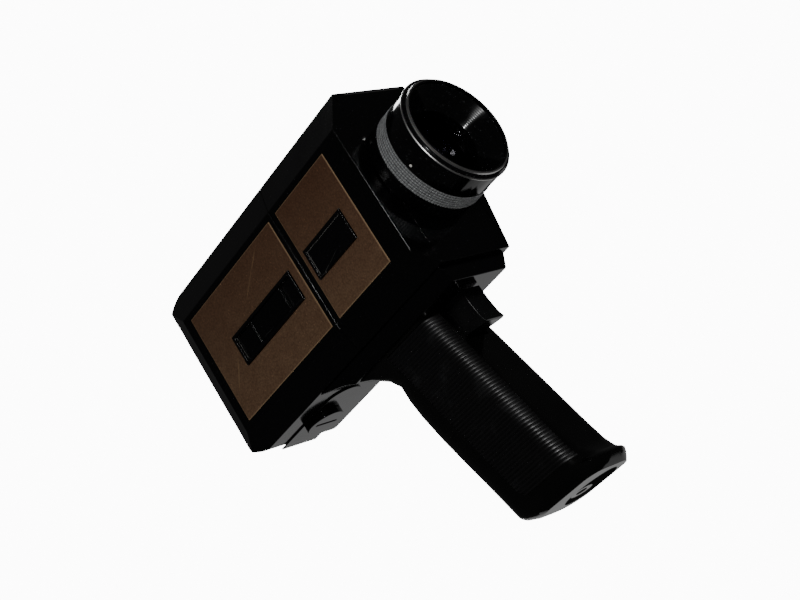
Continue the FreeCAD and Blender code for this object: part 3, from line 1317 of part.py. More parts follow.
def side_prism(points, low, high):
    """Prism between two places along X, from an outline of (y, z)."""
    corners = [Vector(low, y, z) for y, z in points]
    return Part.Face(Part.makePolygon(corners + corners[:1])).extrude(Vector(high - low, 0, 0))


def insert_zone(side, clear):
    """Space of one insert: bounded by the strip left bare in front, and by its rear line."""
    low, high = insert_span()
    low += clear
    high -= clear
    rear_low = grip_line(low) + 0.685 * size("grip_depth") - clear
    rear_high = grip_line(high) + 0.665 * size("grip_depth") - clear
    outer = size("grip_half") + 5
    front = -size("front_overhang") - 20
    cut_corner = 3.5
    loop = [(front, low), (rear_low - cut_corner, low), (rear_low, low + cut_corner),
            (rear_high, high), (front, high)]
    zone = side_prism(loop, 0, outer)
    top = size("strip_top" if side < 0 else "strip_far") + clear
    foot = size("strip_foot" if side < 0 else "strip_far") + clear
    wedge = [Vector(x, front, z) for x, z in ((0, low - 5), (foot, low - 5), (foot, low), (top, high),
                                              (top, high + 5), (0, high + 5))]
    depth = grip_line(high) + 2 * size("insert_thick") - front
    strip = Part.Face(Part.makePolygon(wedge + wedge[:1])).extrude(Vector(0, depth, 0))
    zone = zone.cut(strip)
    return zone if side > 0 else zone.mirror(Vector(), Vector(1, 0, 0))


def trigger_room(clear):
    half = size("trigger_half") + clear
    low = size("grip_height") - size("trigger_drop") - size("trigger_high") - clear
    high = size("grip_height") - size("shoe_high") + 1
    front = grip_line(high) - size("trigger_reach") - 6
    return Part.makeBox(2 * half, size("trigger_reach") + 18, high - low, Vector(-half, front, low))


def make_inserts():
    thick = size("insert_thick")
    low, high = insert_span()
    ring = ribbed_loft().cut(grip_loft(low - 1, high + 1, thick - size("running")))
    ring = ring.cut(trigger_room(size("seam") + 1))
    for node, side in (("grip_insert_right", -1), ("grip_insert_left", 1)):
        fixed(node, ring.common(insert_zone(side, size("running"))))


def hatch_axis():
    """Hinge line of the battery door, one knuckle's radius inside the grip's back."""
    level = size("hatch_low")
    return section_at(level)[2] - size("knuckle_radius"), level


def hatch_zone(clear):
    """Space of the battery door in the back of the grip."""
    low = size("hatch_low") - clear
    high = size("hatch_low") + size("hatch_high") + clear
    half = size("hatch_half") + clear
    inner = 9
    loop = [(section_at(low)[2] - inner, low), (section_at(low)[2] + 20, low),
            (section_at(high)[2] + 20, high), (section_at(high)[2] - inner, high)]
    return side_prism(loop, -half, half)


def across(radius, start, end):
    """Cylinder along the battery door's hinge."""
    y, z = hatch_axis()
    return Part.makeCylinder(radius, end - start, Vector(start, y, z), Vector(1, 0, 0))


def add_hatch_hinge(outer, case, door):
    """Knuckles flush with the grip's back: the middle one on the door, one each side on the casing."""
    seam = size("seam")
    knuckle = size("knuckle_radius")
    middle = size("knuckle_half")
    end = size("knuckle_end")
    roll = size("roll_radius")
    roll_end = size("roll_end")
    case = case.cut(across(knuckle + 2 * seam, -end - seam, end + seam))
    side = size("hatch_half") + seam
    case = case.cut(across(roll + 2 * seam, -side, side))
    door = door.fuse(outer.common(across(knuckle, -middle, middle)))
    y, z = hatch_axis()
    for near, far in ((-end, -middle - seam), (middle + seam, end)):
        door = door.cut(across(knuckle + seam, near - seam, far + seam))
        lug_low = Vector(near, y - knuckle - 0.2, z - knuckle - 1.5)
        lug = Part.makeBox(far - near, knuckle + 0.2, knuckle + 1.5, lug_low)
        case = case.fuse([outer.common(across(knuckle, near, far)), lug])
    for near, far in ((-roll_end, -end - seam), (end + seam, roll_end)):
        door = door.fuse(outer.common(across(roll, near, far)))
    hole = across(size("hatch_pin") + size("running"), -end - 0.01, end + 0.01)
    return case.cut(hole), door.cut(hole)


def make_grip():
    """Grip casing, with recesses for the inserts and an opening for the battery door."""
    thick = size("insert_thick")
    skin = thick + size("grip_wall")
    top = size("grip_height") - size("shoe_high")
    outer = grip_loft(0, top, 0)
    room = grip_loft(size("foot_floor"), top + 1, skin)
    low, high = insert_span()
    layer = grip_loft(low - 1, high + 1, -1).cut(grip_loft(low - 1, high + 1, thick))
    case = outer.cut(room)
    for side in (-1, 1):
        case = case.cut(layer.common(insert_zone(side, 0)))
    case = case.cut(trigger_room(size("seam")))
    wall = outer.cut(room)
    door = wall.common(hatch_zone(0))
    case = case.cut(hatch_zone(size("seam")))
    case, door = add_hatch_hinge(outer, case, door)
    bush = Part.makeCylinder(size("bush_radius") + size("running"), size("foot_floor") + 2, Vector(0, 0, -1))
    fixed("grip_shell", case.cut(bush))
    fixed("battery_door", door)
    fixed("battery_door_pin", across(size("hatch_pin"), -size("knuckle_end"), size("knuckle_end")))


def make_shoe():
    """Skirt between the body and the grip, with the arch's upper end at its rear."""
    body = new_body("grip_shoe")
    base = stations()[len(FOOT) + len(HAND) - 1][2]
    arch = f"({BOTTOM} - arch_high)"
    rear = [(f"{round(base, 3)} + {reach} * arch_long", f"{arch} + {share} * arch_high")
            for share, reach, corner in ARCH[2:]]
    rear[0] = (rear[0][0], SHOE_Z)
    front = f"{FRONT} + shoe_inset"
    pad(body, "side", [(front, BOTTOM), (f"{front} + 0.5", SHOE_Z)] + rear, "-shoe_top", "shoe_top")
    for side in (-1, 1):
        edge = [(f"{side} * shoe_top", BOTTOM), (f"{side} * shoe_low", SHOE_Z),
                (f"{side} * shoe_low", f"{SHOE_Z} - 1"),
                (f"{side} * (shoe_top + 1)", f"{SHOE_Z} - 1"), (f"{side} * (shoe_top + 1)", BOTTOM)]
        pocket(body, "front", edge, f"{FRONT} - 5", f"{REAR} + 5")
    low = size("grip_height") - size("shoe_high") + 0.01
    soften(body, "soften", lambda edge: edge.CenterOfMass.z < low)


def make_trigger():
    body = new_body("trigger")
    top = f"({BOTTOM} - trigger_drop)"
    front = f"(grip_lean * {top} - grip_front - trigger_reach)"
    low = f"({top} - trigger_high)"
    back = f"({front} + trigger_long)"
    loop = [(front, top), (f"{front} - 0.4", f"{top} - trigger_high * 0.42"),
            (f"{front} - 1.4", f"{top} - trigger_high * 0.81"), (f"{front} - 2.6", f"{low} + 0.3"),
            (f"{front} - 1.4", low), (f"{front} + 8.5", f"{low} + 1.3"), (back, f"{low} + 2.7"),
            (back, f"{top} - 4.5"), (f"{back} - 8", top)]
    pad(body, "side", loop, "-trigger_half", "trigger_half")
    front_y = grip_line(size("grip_height") - size("trigger_drop")) - size("trigger_reach")
    soften(body, "soften", lambda edge: edge.CenterOfMass.y < front_y + 1 and abs(edge.CenterOfMass.x) > 1)


def make_trigger_switch():
    back = f"(grip_lean * ({BOTTOM} - trigger_drop) - grip_front - trigger_reach + trigger_long)"
    start = f"{back} + trigger_travel + seam"
    low = ("-4", start, f"{SHOE_Z} - 12")
    keep("trigger_switch", block(low, ("4", f"{start} + switch_long", SHOE_Z)))


def battery_frame(shape):
    """Lean a shape made on the origin along +Z, and set it on the lower ends' middle."""
    level = size("battery_rise")
    middle = grip_line(level) + size("grip_depth") / 2
    shape.rotate(Vector(), Vector(1, 0, 0), -size("battery_lean"))
    shape.translate(Vector(0, middle, level))
    return shape


def make_batteries():
    radius = size("battery_radius")
    cells = []
    for side, way in ((-1, 1), (1, -1)):
        center = side * (radius + size("seam") / 2)
        cell_low = Vector(0, center, 0.0 if way > 0 else 1.2)
        body = Part.makeCylinder(radius, size("battery_long") - 1.2, cell_low)
        nub_start = size("battery_long") - 1.3 if way > 0 else 0.0
        nub = Part.makeCylinder(radius * 0.38, 1.3, Vector(0, center, nub_start))
        cells.append(battery_frame(body.fuse(nub)))
    fixed("batteries", Part.makeCompound(cells))


def make_contacts():
    """Contact plates at both ends of the batteries, held between the grip's side walls."""
    radius = size("battery_radius")
    inner = size("grip_half") - size("insert_thick") - size("grip_wall") - size("seam")
    plates = []
    for start in (-0.9, size("battery_long") + 0.3):
        face = Part.makeBox(2 * radius, 4 * radius - 2, 0.6, Vector(-radius, -2 * radius + 1, start))
        strap = Part.makeBox(2 * inner, 8, 0.6, Vector(-inner, -4, start))
        plates.append(battery_frame(face.fuse(strap)))
    fixed("battery_contacts", Part.makeCompound(plates))


def make_bush():
    bush = rod("z", ("0", "0"), "bush_radius", "0", "socket_long + 1.5")
    keep("tripod_bush", cut(bush, rod("z", ("0", "0"), "socket_radius", "-1", "socket_long")))


# Underside

CAP_Y = f"({REAR} - cap_back)"
CAP_TOP = f"({BOTTOM} - base_thick - fit)"


def make_base_plate():
    low = f"{BOTTOM} - base_thick"
    nose = f"({REAR} - base_nose + base_half)"
    long = block(("-base_half", nose, low), ("base_half", f"{REAR} - base_back", BOTTOM))
    round_end = rod("z", ("0", nose), "base_half", low, BOTTOM)
    well = rod("z", ("-cap_side", CAP_Y), "cell_radius + 2 * seam", f"{low} - 1", f"{BOTTOM} + 1")
    keep("base_plate", cut(fuse(long, round_end), well))


def make_meter_cap():
    """Coin-slot cap over the meter's button cell."""
    center = ("-cap_side", CAP_Y)
    low = f"({BOTTOM} - cap_high)"
    cap = rod("z", center, "cap_radius", low, CAP_TOP)
    room = rod("z", center, "cell_radius + fit", f"{low} + 1.2", f"{BOTTOM} + 1")
    slot = block(("-cap_side - cap_radius * 0.66", f"{CAP_Y} - 0.7", f"{low} - 1"),
                 ("-cap_side + cap_radius * 0.66", f"{CAP_Y} + 0.7", f"{low} + 0.8"))
    keep("meter_cap", cut(cap, room, slot))
    start = f"{low} + 1.2 + fit"
    keep("button_cell", rod("z", center, "cell_radius", start, f"{start} + cell_high"))


# Build, check and write

def build():
    fill_sheet()
    make_main_body()
    make_right_cover()
    make_film_door()
    make_left_cover()
    make_top_cover()
    make_front_plate()
    make_front_trim()
    make_cloth("front_panel", FRONT_CLOTH_Y, "front_cloth_long", BADGE_Y, "badge_long")
    make_cloth("door_panel", REAR_CLOTH_Y, "rear_cloth_long", LATCH_Y, "latch_long")
    make_frame("badge_frame", BADGE_Y, "badge_long", "-cloth")
    make_frame("latch_frame", LATCH_Y, "latch_long", "1")
    make_latch_slider()
    make_cartridge_spring()
    make_door_pin()
    make_lens_barrel()
    make_zoom_ring()
    make_lens_hood()
    make_bright_rings()
    make_glasses()
    make_lens_tube()
    make_zoom_cell()
    make_optics_block()
    make_prisms()
    make_finder()
    make_film_gate()
    make_claw()
    make_shutter()
    make_train()
    make_takeup()
    make_mechanism_plate()
    make_motor()
    make_circuit_board()
    make_counter()
    make_run_knob()
    make_screws()
    make_inserts()
    make_grip()
    make_shoe()
    make_trigger()
    make_trigger_switch()
    make_batteries()
    make_contacts()
    make_bush()
    make_base_plate()
    make_meter_cap()
    doc.recompute()


def check():
    for thing in doc.Objects:
        if {"Invalid", "Error"} & set(thing.State):
            raise RuntimeError(f"{thing.Label} could not be made: {thing.State}")
    for node, thing in nodes.items():
        if thing.Shape.isNull() or not thing.Shape.isValid() or not thing.Shape.Solids:
            raise RuntimeError(f"{node} has no valid solid")


def write():
    os.makedirs("parts", exist_ok=True)
    for node, thing in nodes.items():
        thing.Shape.exportStep(f"parts/{node}.step")
    print(len(nodes), "sub-parts written")


build()
check()
write()
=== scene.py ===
import json
import math

import bmesh
import bpy
from mathutils import Matrix, Vector
from mathutils.bvhtree import BVHTree


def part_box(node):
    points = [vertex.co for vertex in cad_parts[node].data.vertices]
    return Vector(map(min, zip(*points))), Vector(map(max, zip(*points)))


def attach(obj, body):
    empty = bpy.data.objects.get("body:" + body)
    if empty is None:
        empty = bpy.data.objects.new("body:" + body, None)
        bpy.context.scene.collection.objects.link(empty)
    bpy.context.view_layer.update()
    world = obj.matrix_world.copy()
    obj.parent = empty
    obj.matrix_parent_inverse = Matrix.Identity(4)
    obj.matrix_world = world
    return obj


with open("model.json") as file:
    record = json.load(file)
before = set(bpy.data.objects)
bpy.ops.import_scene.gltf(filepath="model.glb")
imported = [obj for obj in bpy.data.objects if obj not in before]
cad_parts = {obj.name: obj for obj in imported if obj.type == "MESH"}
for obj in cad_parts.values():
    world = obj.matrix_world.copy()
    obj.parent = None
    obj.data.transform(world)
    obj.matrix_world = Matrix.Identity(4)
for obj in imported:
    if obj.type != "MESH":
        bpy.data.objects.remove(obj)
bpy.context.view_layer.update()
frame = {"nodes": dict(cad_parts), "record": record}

NODES = frame["nodes"]
RECORD = frame["record"]
MM = 0.001

BODY_OF = {node: body for body, names in RECORD["behaviour"]["bodies"].items()
           for node in names}
SLOT_OF = {entry["node"]: entry["material_slot"] for entry in RECORD["subparts"]}

# Places on the part, in mm: x and z of what is seen from the front or from behind

LENS_AXIS = (0.0, 145.3)
KNOB = (10.0, 119.5)
DIAL = (12.0, 144.5)
WINDOW = (12.0, 149.0)
FINDER = (0.0, 177.3)

# The dull pad under the foot: x and y of its middle, and its half sides

PAD_AT = (4.0, -2.0)
PAD_HALF = (9.0, 15.0)

# How far the grip leans, y over z

GRIP_LEAN = 0.271


# Camera: the photograph's viewing angle

CAMERA_AT = Vector((-0.48323, -0.40988, -0.0909))
RIGHT = Vector((0.68503, -0.51951, -0.51073))
DOWN = Vector((-0.17211, 0.56580, -0.80638))
AHEAD = Vector((0.70789, 0.64030, 0.29818))
FOCAL_PIXELS = 1601.0
IMAGE_WIDTH = 800


def make_camera():
    data = bpy.data.cameras.new("camera")
    data.sensor_fit = "HORIZONTAL"
    data.sensor_width = 36.0
    data.lens = FOCAL_PIXELS / IMAGE_WIDTH * data.sensor_width
    data.clip_start = 0.01
    data.clip_end = 20.0
    camera = bpy.data.objects.new("camera", data)
    bpy.context.scene.collection.objects.link(camera)
    axes = Matrix((RIGHT, -DOWN, -AHEAD)).transposed()
    camera.matrix_world = Matrix.Translation(CAMERA_AT) @ axes.to_4x4()
    bpy.context.scene.camera = camera


# Node trees

class Tree:
    """A material's node tree with one Principled shader, built by short calls."""

    def __init__(self, name):
        self.material = bpy.data.materials.new(name)
        self.material.use_nodes = True
        self.tree = self.material.node_tree
        self.shader = self.tree.nodes["Principled BSDF"]
        coordinates = self.tree.nodes.new("ShaderNodeTexCoord")
        self.place = coordinates.outputs["Object"]

    def node(self, kind, inputs=(), **settings):
        node = self.tree.nodes.new(kind)
        for key, value in settings.items():
            setattr(node, key, value)
        for key, value in dict(inputs).items():
            self.feed(node.inputs[key], value)
        return node

    def feed(self, socket, value):
        if isinstance(value, bpy.types.NodeSocket):
            self.tree.links.new(value, socket)
        else:
            socket.default_value = value

    def set(self, **inputs):
        for key, value in inputs.items():
            self.feed(self.shader.inputs[key.replace("_", " ")], value)

    def math(self, operation, *values, clamp=False):
        node = self.node("ShaderNodeMath", operation=operation, use_clamp=clamp)
        for socket, value in zip(node.inputs, values):
            self.feed(socket, value)
        return node.outputs[0]

    def times(self, first, second, clamp=False):
        return self.math("MULTIPLY", first, second, clamp=clamp)

    def plus(self, first, second, clamp=False):
        return self.math("ADD", first, second, clamp=clamp)

    def minus(self, first, second):
        return self.math("SUBTRACT", first, second)

    def least(self, first, second):
        return self.math("MINIMUM", first, second)

    def length(self, first, second):
        """Length of the vector that has these two parts."""
        return self.math("SQRT", self.plus(self.times(first, first), self.times(second, second)))

    def mix(self, share, first, second):
        node = self.node("ShaderNodeMix", data_type="RGBA")
        for index, value in ((0, share), (6, first), (7, second)):
            self.feed(node.inputs[index], value)
        return node.outputs[2]

    def over(self, color, other, mask, share):
        """Lays the other colour over the first where the mask is, up to the given share."""
        return self.mix(self.times(mask, share), color, other)

    def ramp(self, value, low, high, start=0.0, end=1.0):
        node = self.node("ShaderNodeMapRange", clamp=True)
        for socket, number in zip(node.inputs, (value, low, high, start, end)):
            self.feed(socket, number)
        return node.outputs[0]

    def noise(self, scale, detail=3.0, roughness=0.5, place=None):
        node = self.node("ShaderNodeTexNoise",
                         {"Vector": place or self.place, "Scale": scale,
                          "Detail": detail, "Roughness": roughness})
        return node.outputs[0]

    def cells(self, scale, feature, place=None):
        node = self.node("ShaderNodeTexVoronoi",
                         {"Vector": place or self.place, "Scale": scale}, feature=feature)
        return node.outputs["Distance"]

    def stretched(self, scale):
        node = self.node("ShaderNodeMapping", {"Vector": self.place, "Scale": scale})
        return node.outputs[0]

    def split(self):
        node = self.node("ShaderNodeSeparateXYZ", {"Vector": self.place})
        return node.outputs[0], node.outputs[1], node.outputs[2]

    def bump(self, height, depth, strength):
        """Relief of the given depth in mm."""
        node = self.node("ShaderNodeBump",
                         {"Height": height, "Distance": depth * MM, "Strength": strength})
        self.tree.links.new(node.outputs[0], self.shader.inputs["Normal"])

    def edges(self, radius):
        """1 on edges within the radius, given in mm, and 0 on flats."""
        rounded = self.node("ShaderNodeBevel", {"Radius": radius * MM}, samples=4)
        geometry = self.node("ShaderNodeNewGeometry")
        cosine = self.node("ShaderNodeVectorMath", operation="DOT_PRODUCT")
        self.tree.links.new(rounded.outputs[0], cosine.inputs[0])
        self.tree.links.new(geometry.outputs["True Normal"], cosine.inputs[1])
        return self.ramp(cosine.outputs["Value"], 0.97, 0.55)

    def rubbed(self, radius, scale, roughness, low, high):
        """Edges as above, broken up where the noise is low."""
        edge = self.edges(radius)
        return self.times(edge, self.ramp(self.noise(scale, 4.0, roughness), low, high), clamp=True)

    def far_from_axis(self):
        """Distance from the lens axis, in metres."""
        x, _, z = self.split()
        return self.length(x, self.minus(z, LENS_AXIS[1] * MM))


def rgb(red, green, blue):
    """Colour from display values of 0 to 255."""
    def linear(value):
        share = value / 255
        return share / 12.92 if share <= 0.04045 else ((share + 0.055) / 1.055) ** 2.4
    return (linear(red), linear(green), linear(blue), 1.0)


def darker(tone, share):
    return [value * share for value in tone[:3]] + [1.0]


# Materials. Noise scales are per metre, relief depths and edge widths in mm.

COMB_PITCH = 1.0
TOOL_RINGS = 9000.0
GLASS_INDEX = 1.52


def enamel(name, dark, worn, gloss=0.1, rub_and_highlight=0.3, wide=0.5, bare=(0.42, 0.7)):
    """Hard glossy finish with faint orange peel, dust, hairline scratches, and pale edges that are
    both rubbed wear and a painted edge highlight.
    """
    t = Tree(name)
    cloud = t.noise(38.0, 4.0)
    edge = t.rubbed(wide, 420.0, 0.65, *bare)
    dust = t.ramp(t.noise(900.0, 6.0, 0.75), 0.62, 0.82)
    dust = t.times(dust, t.ramp(cloud, 0.45, 0.8), clamp=True)
    hair = t.cells(60.0, "DISTANCE_TO_EDGE", t.stretched((1.0, 0.16, 1.0)))
    line = t.ramp(hair, 0.004, 0.0)
    line = t.times(line, t.ramp(t.noise(90.0, 2.0), 0.5, 0.62), clamp=True)
    # Pale edges: rubbed wear and a painted edge highlight; the higher the share, the more of it is
    # painted highlight.
    color = t.over(dark, worn, edge, rub_and_highlight)
    color = t.over(color, worn, dust, 0.12)
    color = t.over(color, worn, line, 0.12)
    rough = t.ramp(cloud, 0.3, 0.75, gloss, gloss + 0.07)
    rough = t.plus(rough, t.times(dust, 0.2))
    rough = t.plus(rough, t.times(edge, 0.2), clamp=True)
    height = t.plus(t.noise(2600.0, 2.0), t.times(line, -0.6))
    t.set(Base_Color=color, Roughness=rough, Specular_IOR_Level=0.4)
    t.bump(height, 0.008, 0.3)
    return t.material


def segment(t, start, end, width):
    """1 along a straight mark between two points of the y, z plane, given in mm."""
    _, y, z = t.split()
    (y0, z0), (y1, z1) = start, end
    long = math.hypot(y1 - y0, z1 - z0)
    along_y, along_z = (y1 - y0) / long, (z1 - z0) / long
    dy = t.minus(y, y0 * MM)
    dz = t.minus(z, z0 * MM)
    along = t.plus(t.times(dy, along_y), t.times(dz, along_z))
    across = t.math("ABSOLUTE", t.minus(t.times(dz, along_y), t.times(dy, along_z)))
    inside = t.times(t.ramp(along, 0.0, 0.004), t.ramp(along, long * MM, long * MM - 0.006))
    return t.times(t.ramp(across, width * MM, 0.0), inside, clamp=True)


def leatherette(name, low, high, marks):
    """Brown pressed leather cloth: pebble grain, uneven colour, painted light that makes it lighter
    towards the bottom and rear, a pale cut edge that is also a painted edge highlight, and a few
    scuffs.
    """
    t = Tree(name)
    pebble = t.cells(1250.0, "SMOOTH_F1")
    fine = t.noise(4200.0, 3.0, 0.6)
    cloud = t.noise(22.0, 5.0, 0.6)
    patch = t.noise(120.0, 4.0, 0.55)
    _, y, z = t.split()
    # Painted light: the panel turns lighter and warmer towards the bottom and rear.
    painted_light_toward_bottom = t.ramp(t.minus(z, t.times(y, 0.25)), 0.165, 0.095)
    color = t.mix(painted_light_toward_bottom, rgb(82, 57, 41), rgb(124, 98, 75))
    color = t.over(color, rgb(106, 76, 54), t.ramp(cloud, 0.32, 0.72), 0.4)
    color = t.over(color, rgb(82, 54, 37), t.ramp(patch, 0.35, 0.75), 0.3)
    color = t.over(color, rgb(52, 33, 21), t.ramp(pebble, 0.25, 0.62), 0.35)
    # Pale cut edge along the panel's border, also standing as a painted edge highlight.
    gaps = [t.minus(y, low[1]), t.minus(high[1], y), t.minus(z, low[2]), t.minus(high[2], z)]
    inward = t.least(t.least(gaps[0], gaps[1]), t.least(gaps[2], gaps[3]))
    color = t.over(color, rgb(176, 146, 112), t.ramp(inward, 0.0005, 0.0001), 0.7)
    for start, end, width, strength in marks:
        mark = t.times(segment(t, start, end, width), t.ramp(patch, 0.3, 0.5), clamp=True)
        color = t.over(color, rgb(164, 132, 96), mark, strength)
    rough = t.ramp(cloud, 0.3, 0.7, 0.46, 0.6)
    height = t.plus(t.times(pebble, -1.0), t.times(fine, 0.35))
    t.set(Base_Color=color, Roughness=rough, Specular_IOR_Level=0.3)
    t.bump(height, 0.07, 0.75)
    return t.material


def brushed(name, tone, rough=0.3, along=(1.0, 1.0, 30.0)):
    """Metal with fine machining lines and darker patches of finger haze."""
    t = Tree(name)
    lines = t.noise(260.0, 5.0, 0.7, t.stretched(along))
    haze = t.noise(60.0, 3.0)
    color = t.mix(t.ramp(lines, 0.3, 0.7), darker(tone, 0.78), tone)
    color = t.over(color, darker(tone, 0.6), t.ramp(haze, 0.45, 0.75), 0.3)
    rough = t.ramp(lines, 0.25, 0.75, rough - 0.07, rough + 0.12)
    t.set(Base_Color=color, Metallic=1.0, Roughness=rough)
    t.bump(lines, 0.01, 0.4)
    return t.material


def moulded(name, tone, rough, grain, depth, worn=rgb(70, 68, 64)):
    """Moulded plastic or rubber with a fine spark texture and rubbed edges."""
    t = Tree(name)
    pits = t.noise(grain, 4.0, 0.7)
    haze = t.noise(45.0, 4.0)
    edge = t.rubbed(0.5, 300.0, 0.6, 0.4, 0.7)
    color = t.over(tone, worn, t.ramp(haze, 0.4, 0.8), 0.3)
    color = t.over(color, worn, edge, 0.5)
    t.set(Base_Color=color, Roughness=t.ramp(haze, 0.3, 0.7, rough - 0.06, rough + 0.1))
    t.bump(pits, depth, 0.5)
    return t.material


def ribbed(name, tone, worn):
    """Grip inserts: fine upright grooves across the ribs, and pale rubbed rib tops that are both dust
    and a painted highlight.
    """
    t = Tree(name)
    x, y, z = t.split()
    along = t.minus(t.plus(x, y), t.times(z, GRIP_LEAN))
    comb = t.math("SINE", t.times(along, 2 * math.pi / (COMB_PITCH * MM)))
    pits = t.noise(2200.0, 3.0, 0.6)
    haze = t.noise(80.0, 4.0)
    # Pale rib tops: dust and a painted highlight.
    edge = t.rubbed(0.4, 500.0, 0.6, 0.4, 0.66)
    color = t.over(tone, worn, edge, 0.3)
    color = t.over(color, worn, t.ramp(haze, 0.55, 0.85), 0.15)
    rough = t.ramp(haze, 0.3, 0.7, 0.32, 0.42)
    t.set(Base_Color=color, Roughness=rough, Specular_IOR_Level=1.0)
    t.bump(t.plus(t.times(comb, 0.3), t.times(pits, 0.5)), 0.03, 0.5)
    return t.material


def grip_case(name):
    """Glossy grip casing with a dull pressed pad round the tripod socket."""
    t = Tree(name)
    x, y, z = t.split()
    wide = t.math("DIVIDE", t.minus(x, PAD_AT[0] * MM), PAD_HALF[0] * MM)
    long = t.math("DIVIDE", t.minus(y, PAD_AT[1] * MM), PAD_HALF[1] * MM)
    pad = t.times(t.ramp(t.length(wide, long), 1.0, 0.96), t.ramp(z, 0.0006, 0.0003))
    haze = t.noise(45.0, 4.0)
    edge = t.rubbed(0.5, 300.0, 0.6, 0.4, 0.7)
    color = t.over(rgb(7, 7, 7), rgb(30, 29, 27), t.ramp(haze, 0.4, 0.8), 0.2)
    color = t.over(color, rgb(54, 53, 49), edge, 0.4)
    color = t.mix(pad, color, rgb(9, 9, 9))
    rough = t.ramp(haze, 0.3, 0.7, 0.1, 0.2)
    rough = t.plus(rough, t.times(pad, 0.7), clamp=True)
    t.set(Base_Color=color, Roughness=rough)
    t.bump(t.times(t.noise(2000.0, 3.0), t.plus(pad, 0.15)), 0.03, 0.5)
    return t.material


def ring_metal(name, crest_radius, groove_shade, crest):
    """Knurled ring: bright rubbed crests over grooves painted dark as shade, by the distance from its
    axis; grime dulls the crests in patches.
    """
    t = Tree(name)
    # Painted shade: the grooves get the dark colour, the crests the bright one.
    height = t.ramp(t.far_from_axis(), (crest_radius - 0.32) * MM, (crest_radius - 0.1) * MM)
    grime = t.noise(700.0, 5.0, 0.7)
    share = t.times(height, t.ramp(grime, 0.15, 0.5), clamp=True)
    color = t.mix(share, groove_shade, crest)
    metal = t.ramp(share, 0.1, 0.6, 0.1, 0.6)
    t.set(Base_Color=color, Metallic=metal, Roughness=t.ramp(grime, 0.2, 0.8, 0.3, 0.44))
    t.bump(grime, 0.01, 0.4)
    return t.material


def turned(name, tone, rough, worn=rgb(120, 122, 124)):
    """Anodised turned part: fine rings left by the tool, and rubbed rims."""
    t = Tree(name)
    _, y, _ = t.split()
    rings = t.math("SINE", t.times(y, TOOL_RINGS))
    dust = t.noise(650.0, 5.0, 0.7)
    haze = t.noise(55.0, 3.0)
    edge = t.rubbed(0.4, 500.0, 0.5, 0.4, 0.65)
    color = t.over(tone, worn, t.ramp(dust, 0.6, 0.85), 0.35)
    color = t.over(color, worn, edge, 0.5)
    t.set(Base_Color=color, Roughness=t.ramp(haze, 0.3, 0.7, rough - 0.05, rough + 0.1))
    t.bump(t.plus(t.times(rings, 0.3), dust), 0.008, 0.5)
    return t.material


def lens_glass(name, tint):
    """Coated optical glass with faint dust on it."""
    t = Tree(name)
    dust = t.ramp(t.noise(1500.0, 6.0, 0.8), 0.66, 0.8)
    color = t.over(tint, rgb(200, 200, 196), dust, 0.2)
    t.set(Base_Color=color, Roughness=t.times(dust, 0.25), Transmission_Weight=1.0,
          IOR=GLASS_INDEX, Coat_Weight=0.25, Coat_Tint=rgb(150, 120, 200))
    return t.material


# Scuffs on the leatherette: two points of the y, z plane, width in mm, strength

FRONT_SCUFFS = [((8.0, 149.0), (13.0, 146.0), 0.4, 0.3)]
DOOR_SCUFFS = [((52.1, 165.1), (74.5, 151.8), 0.4, 0.5), ((96.7, 138.2), (109.1, 124.6), 0.45, 0.55)]


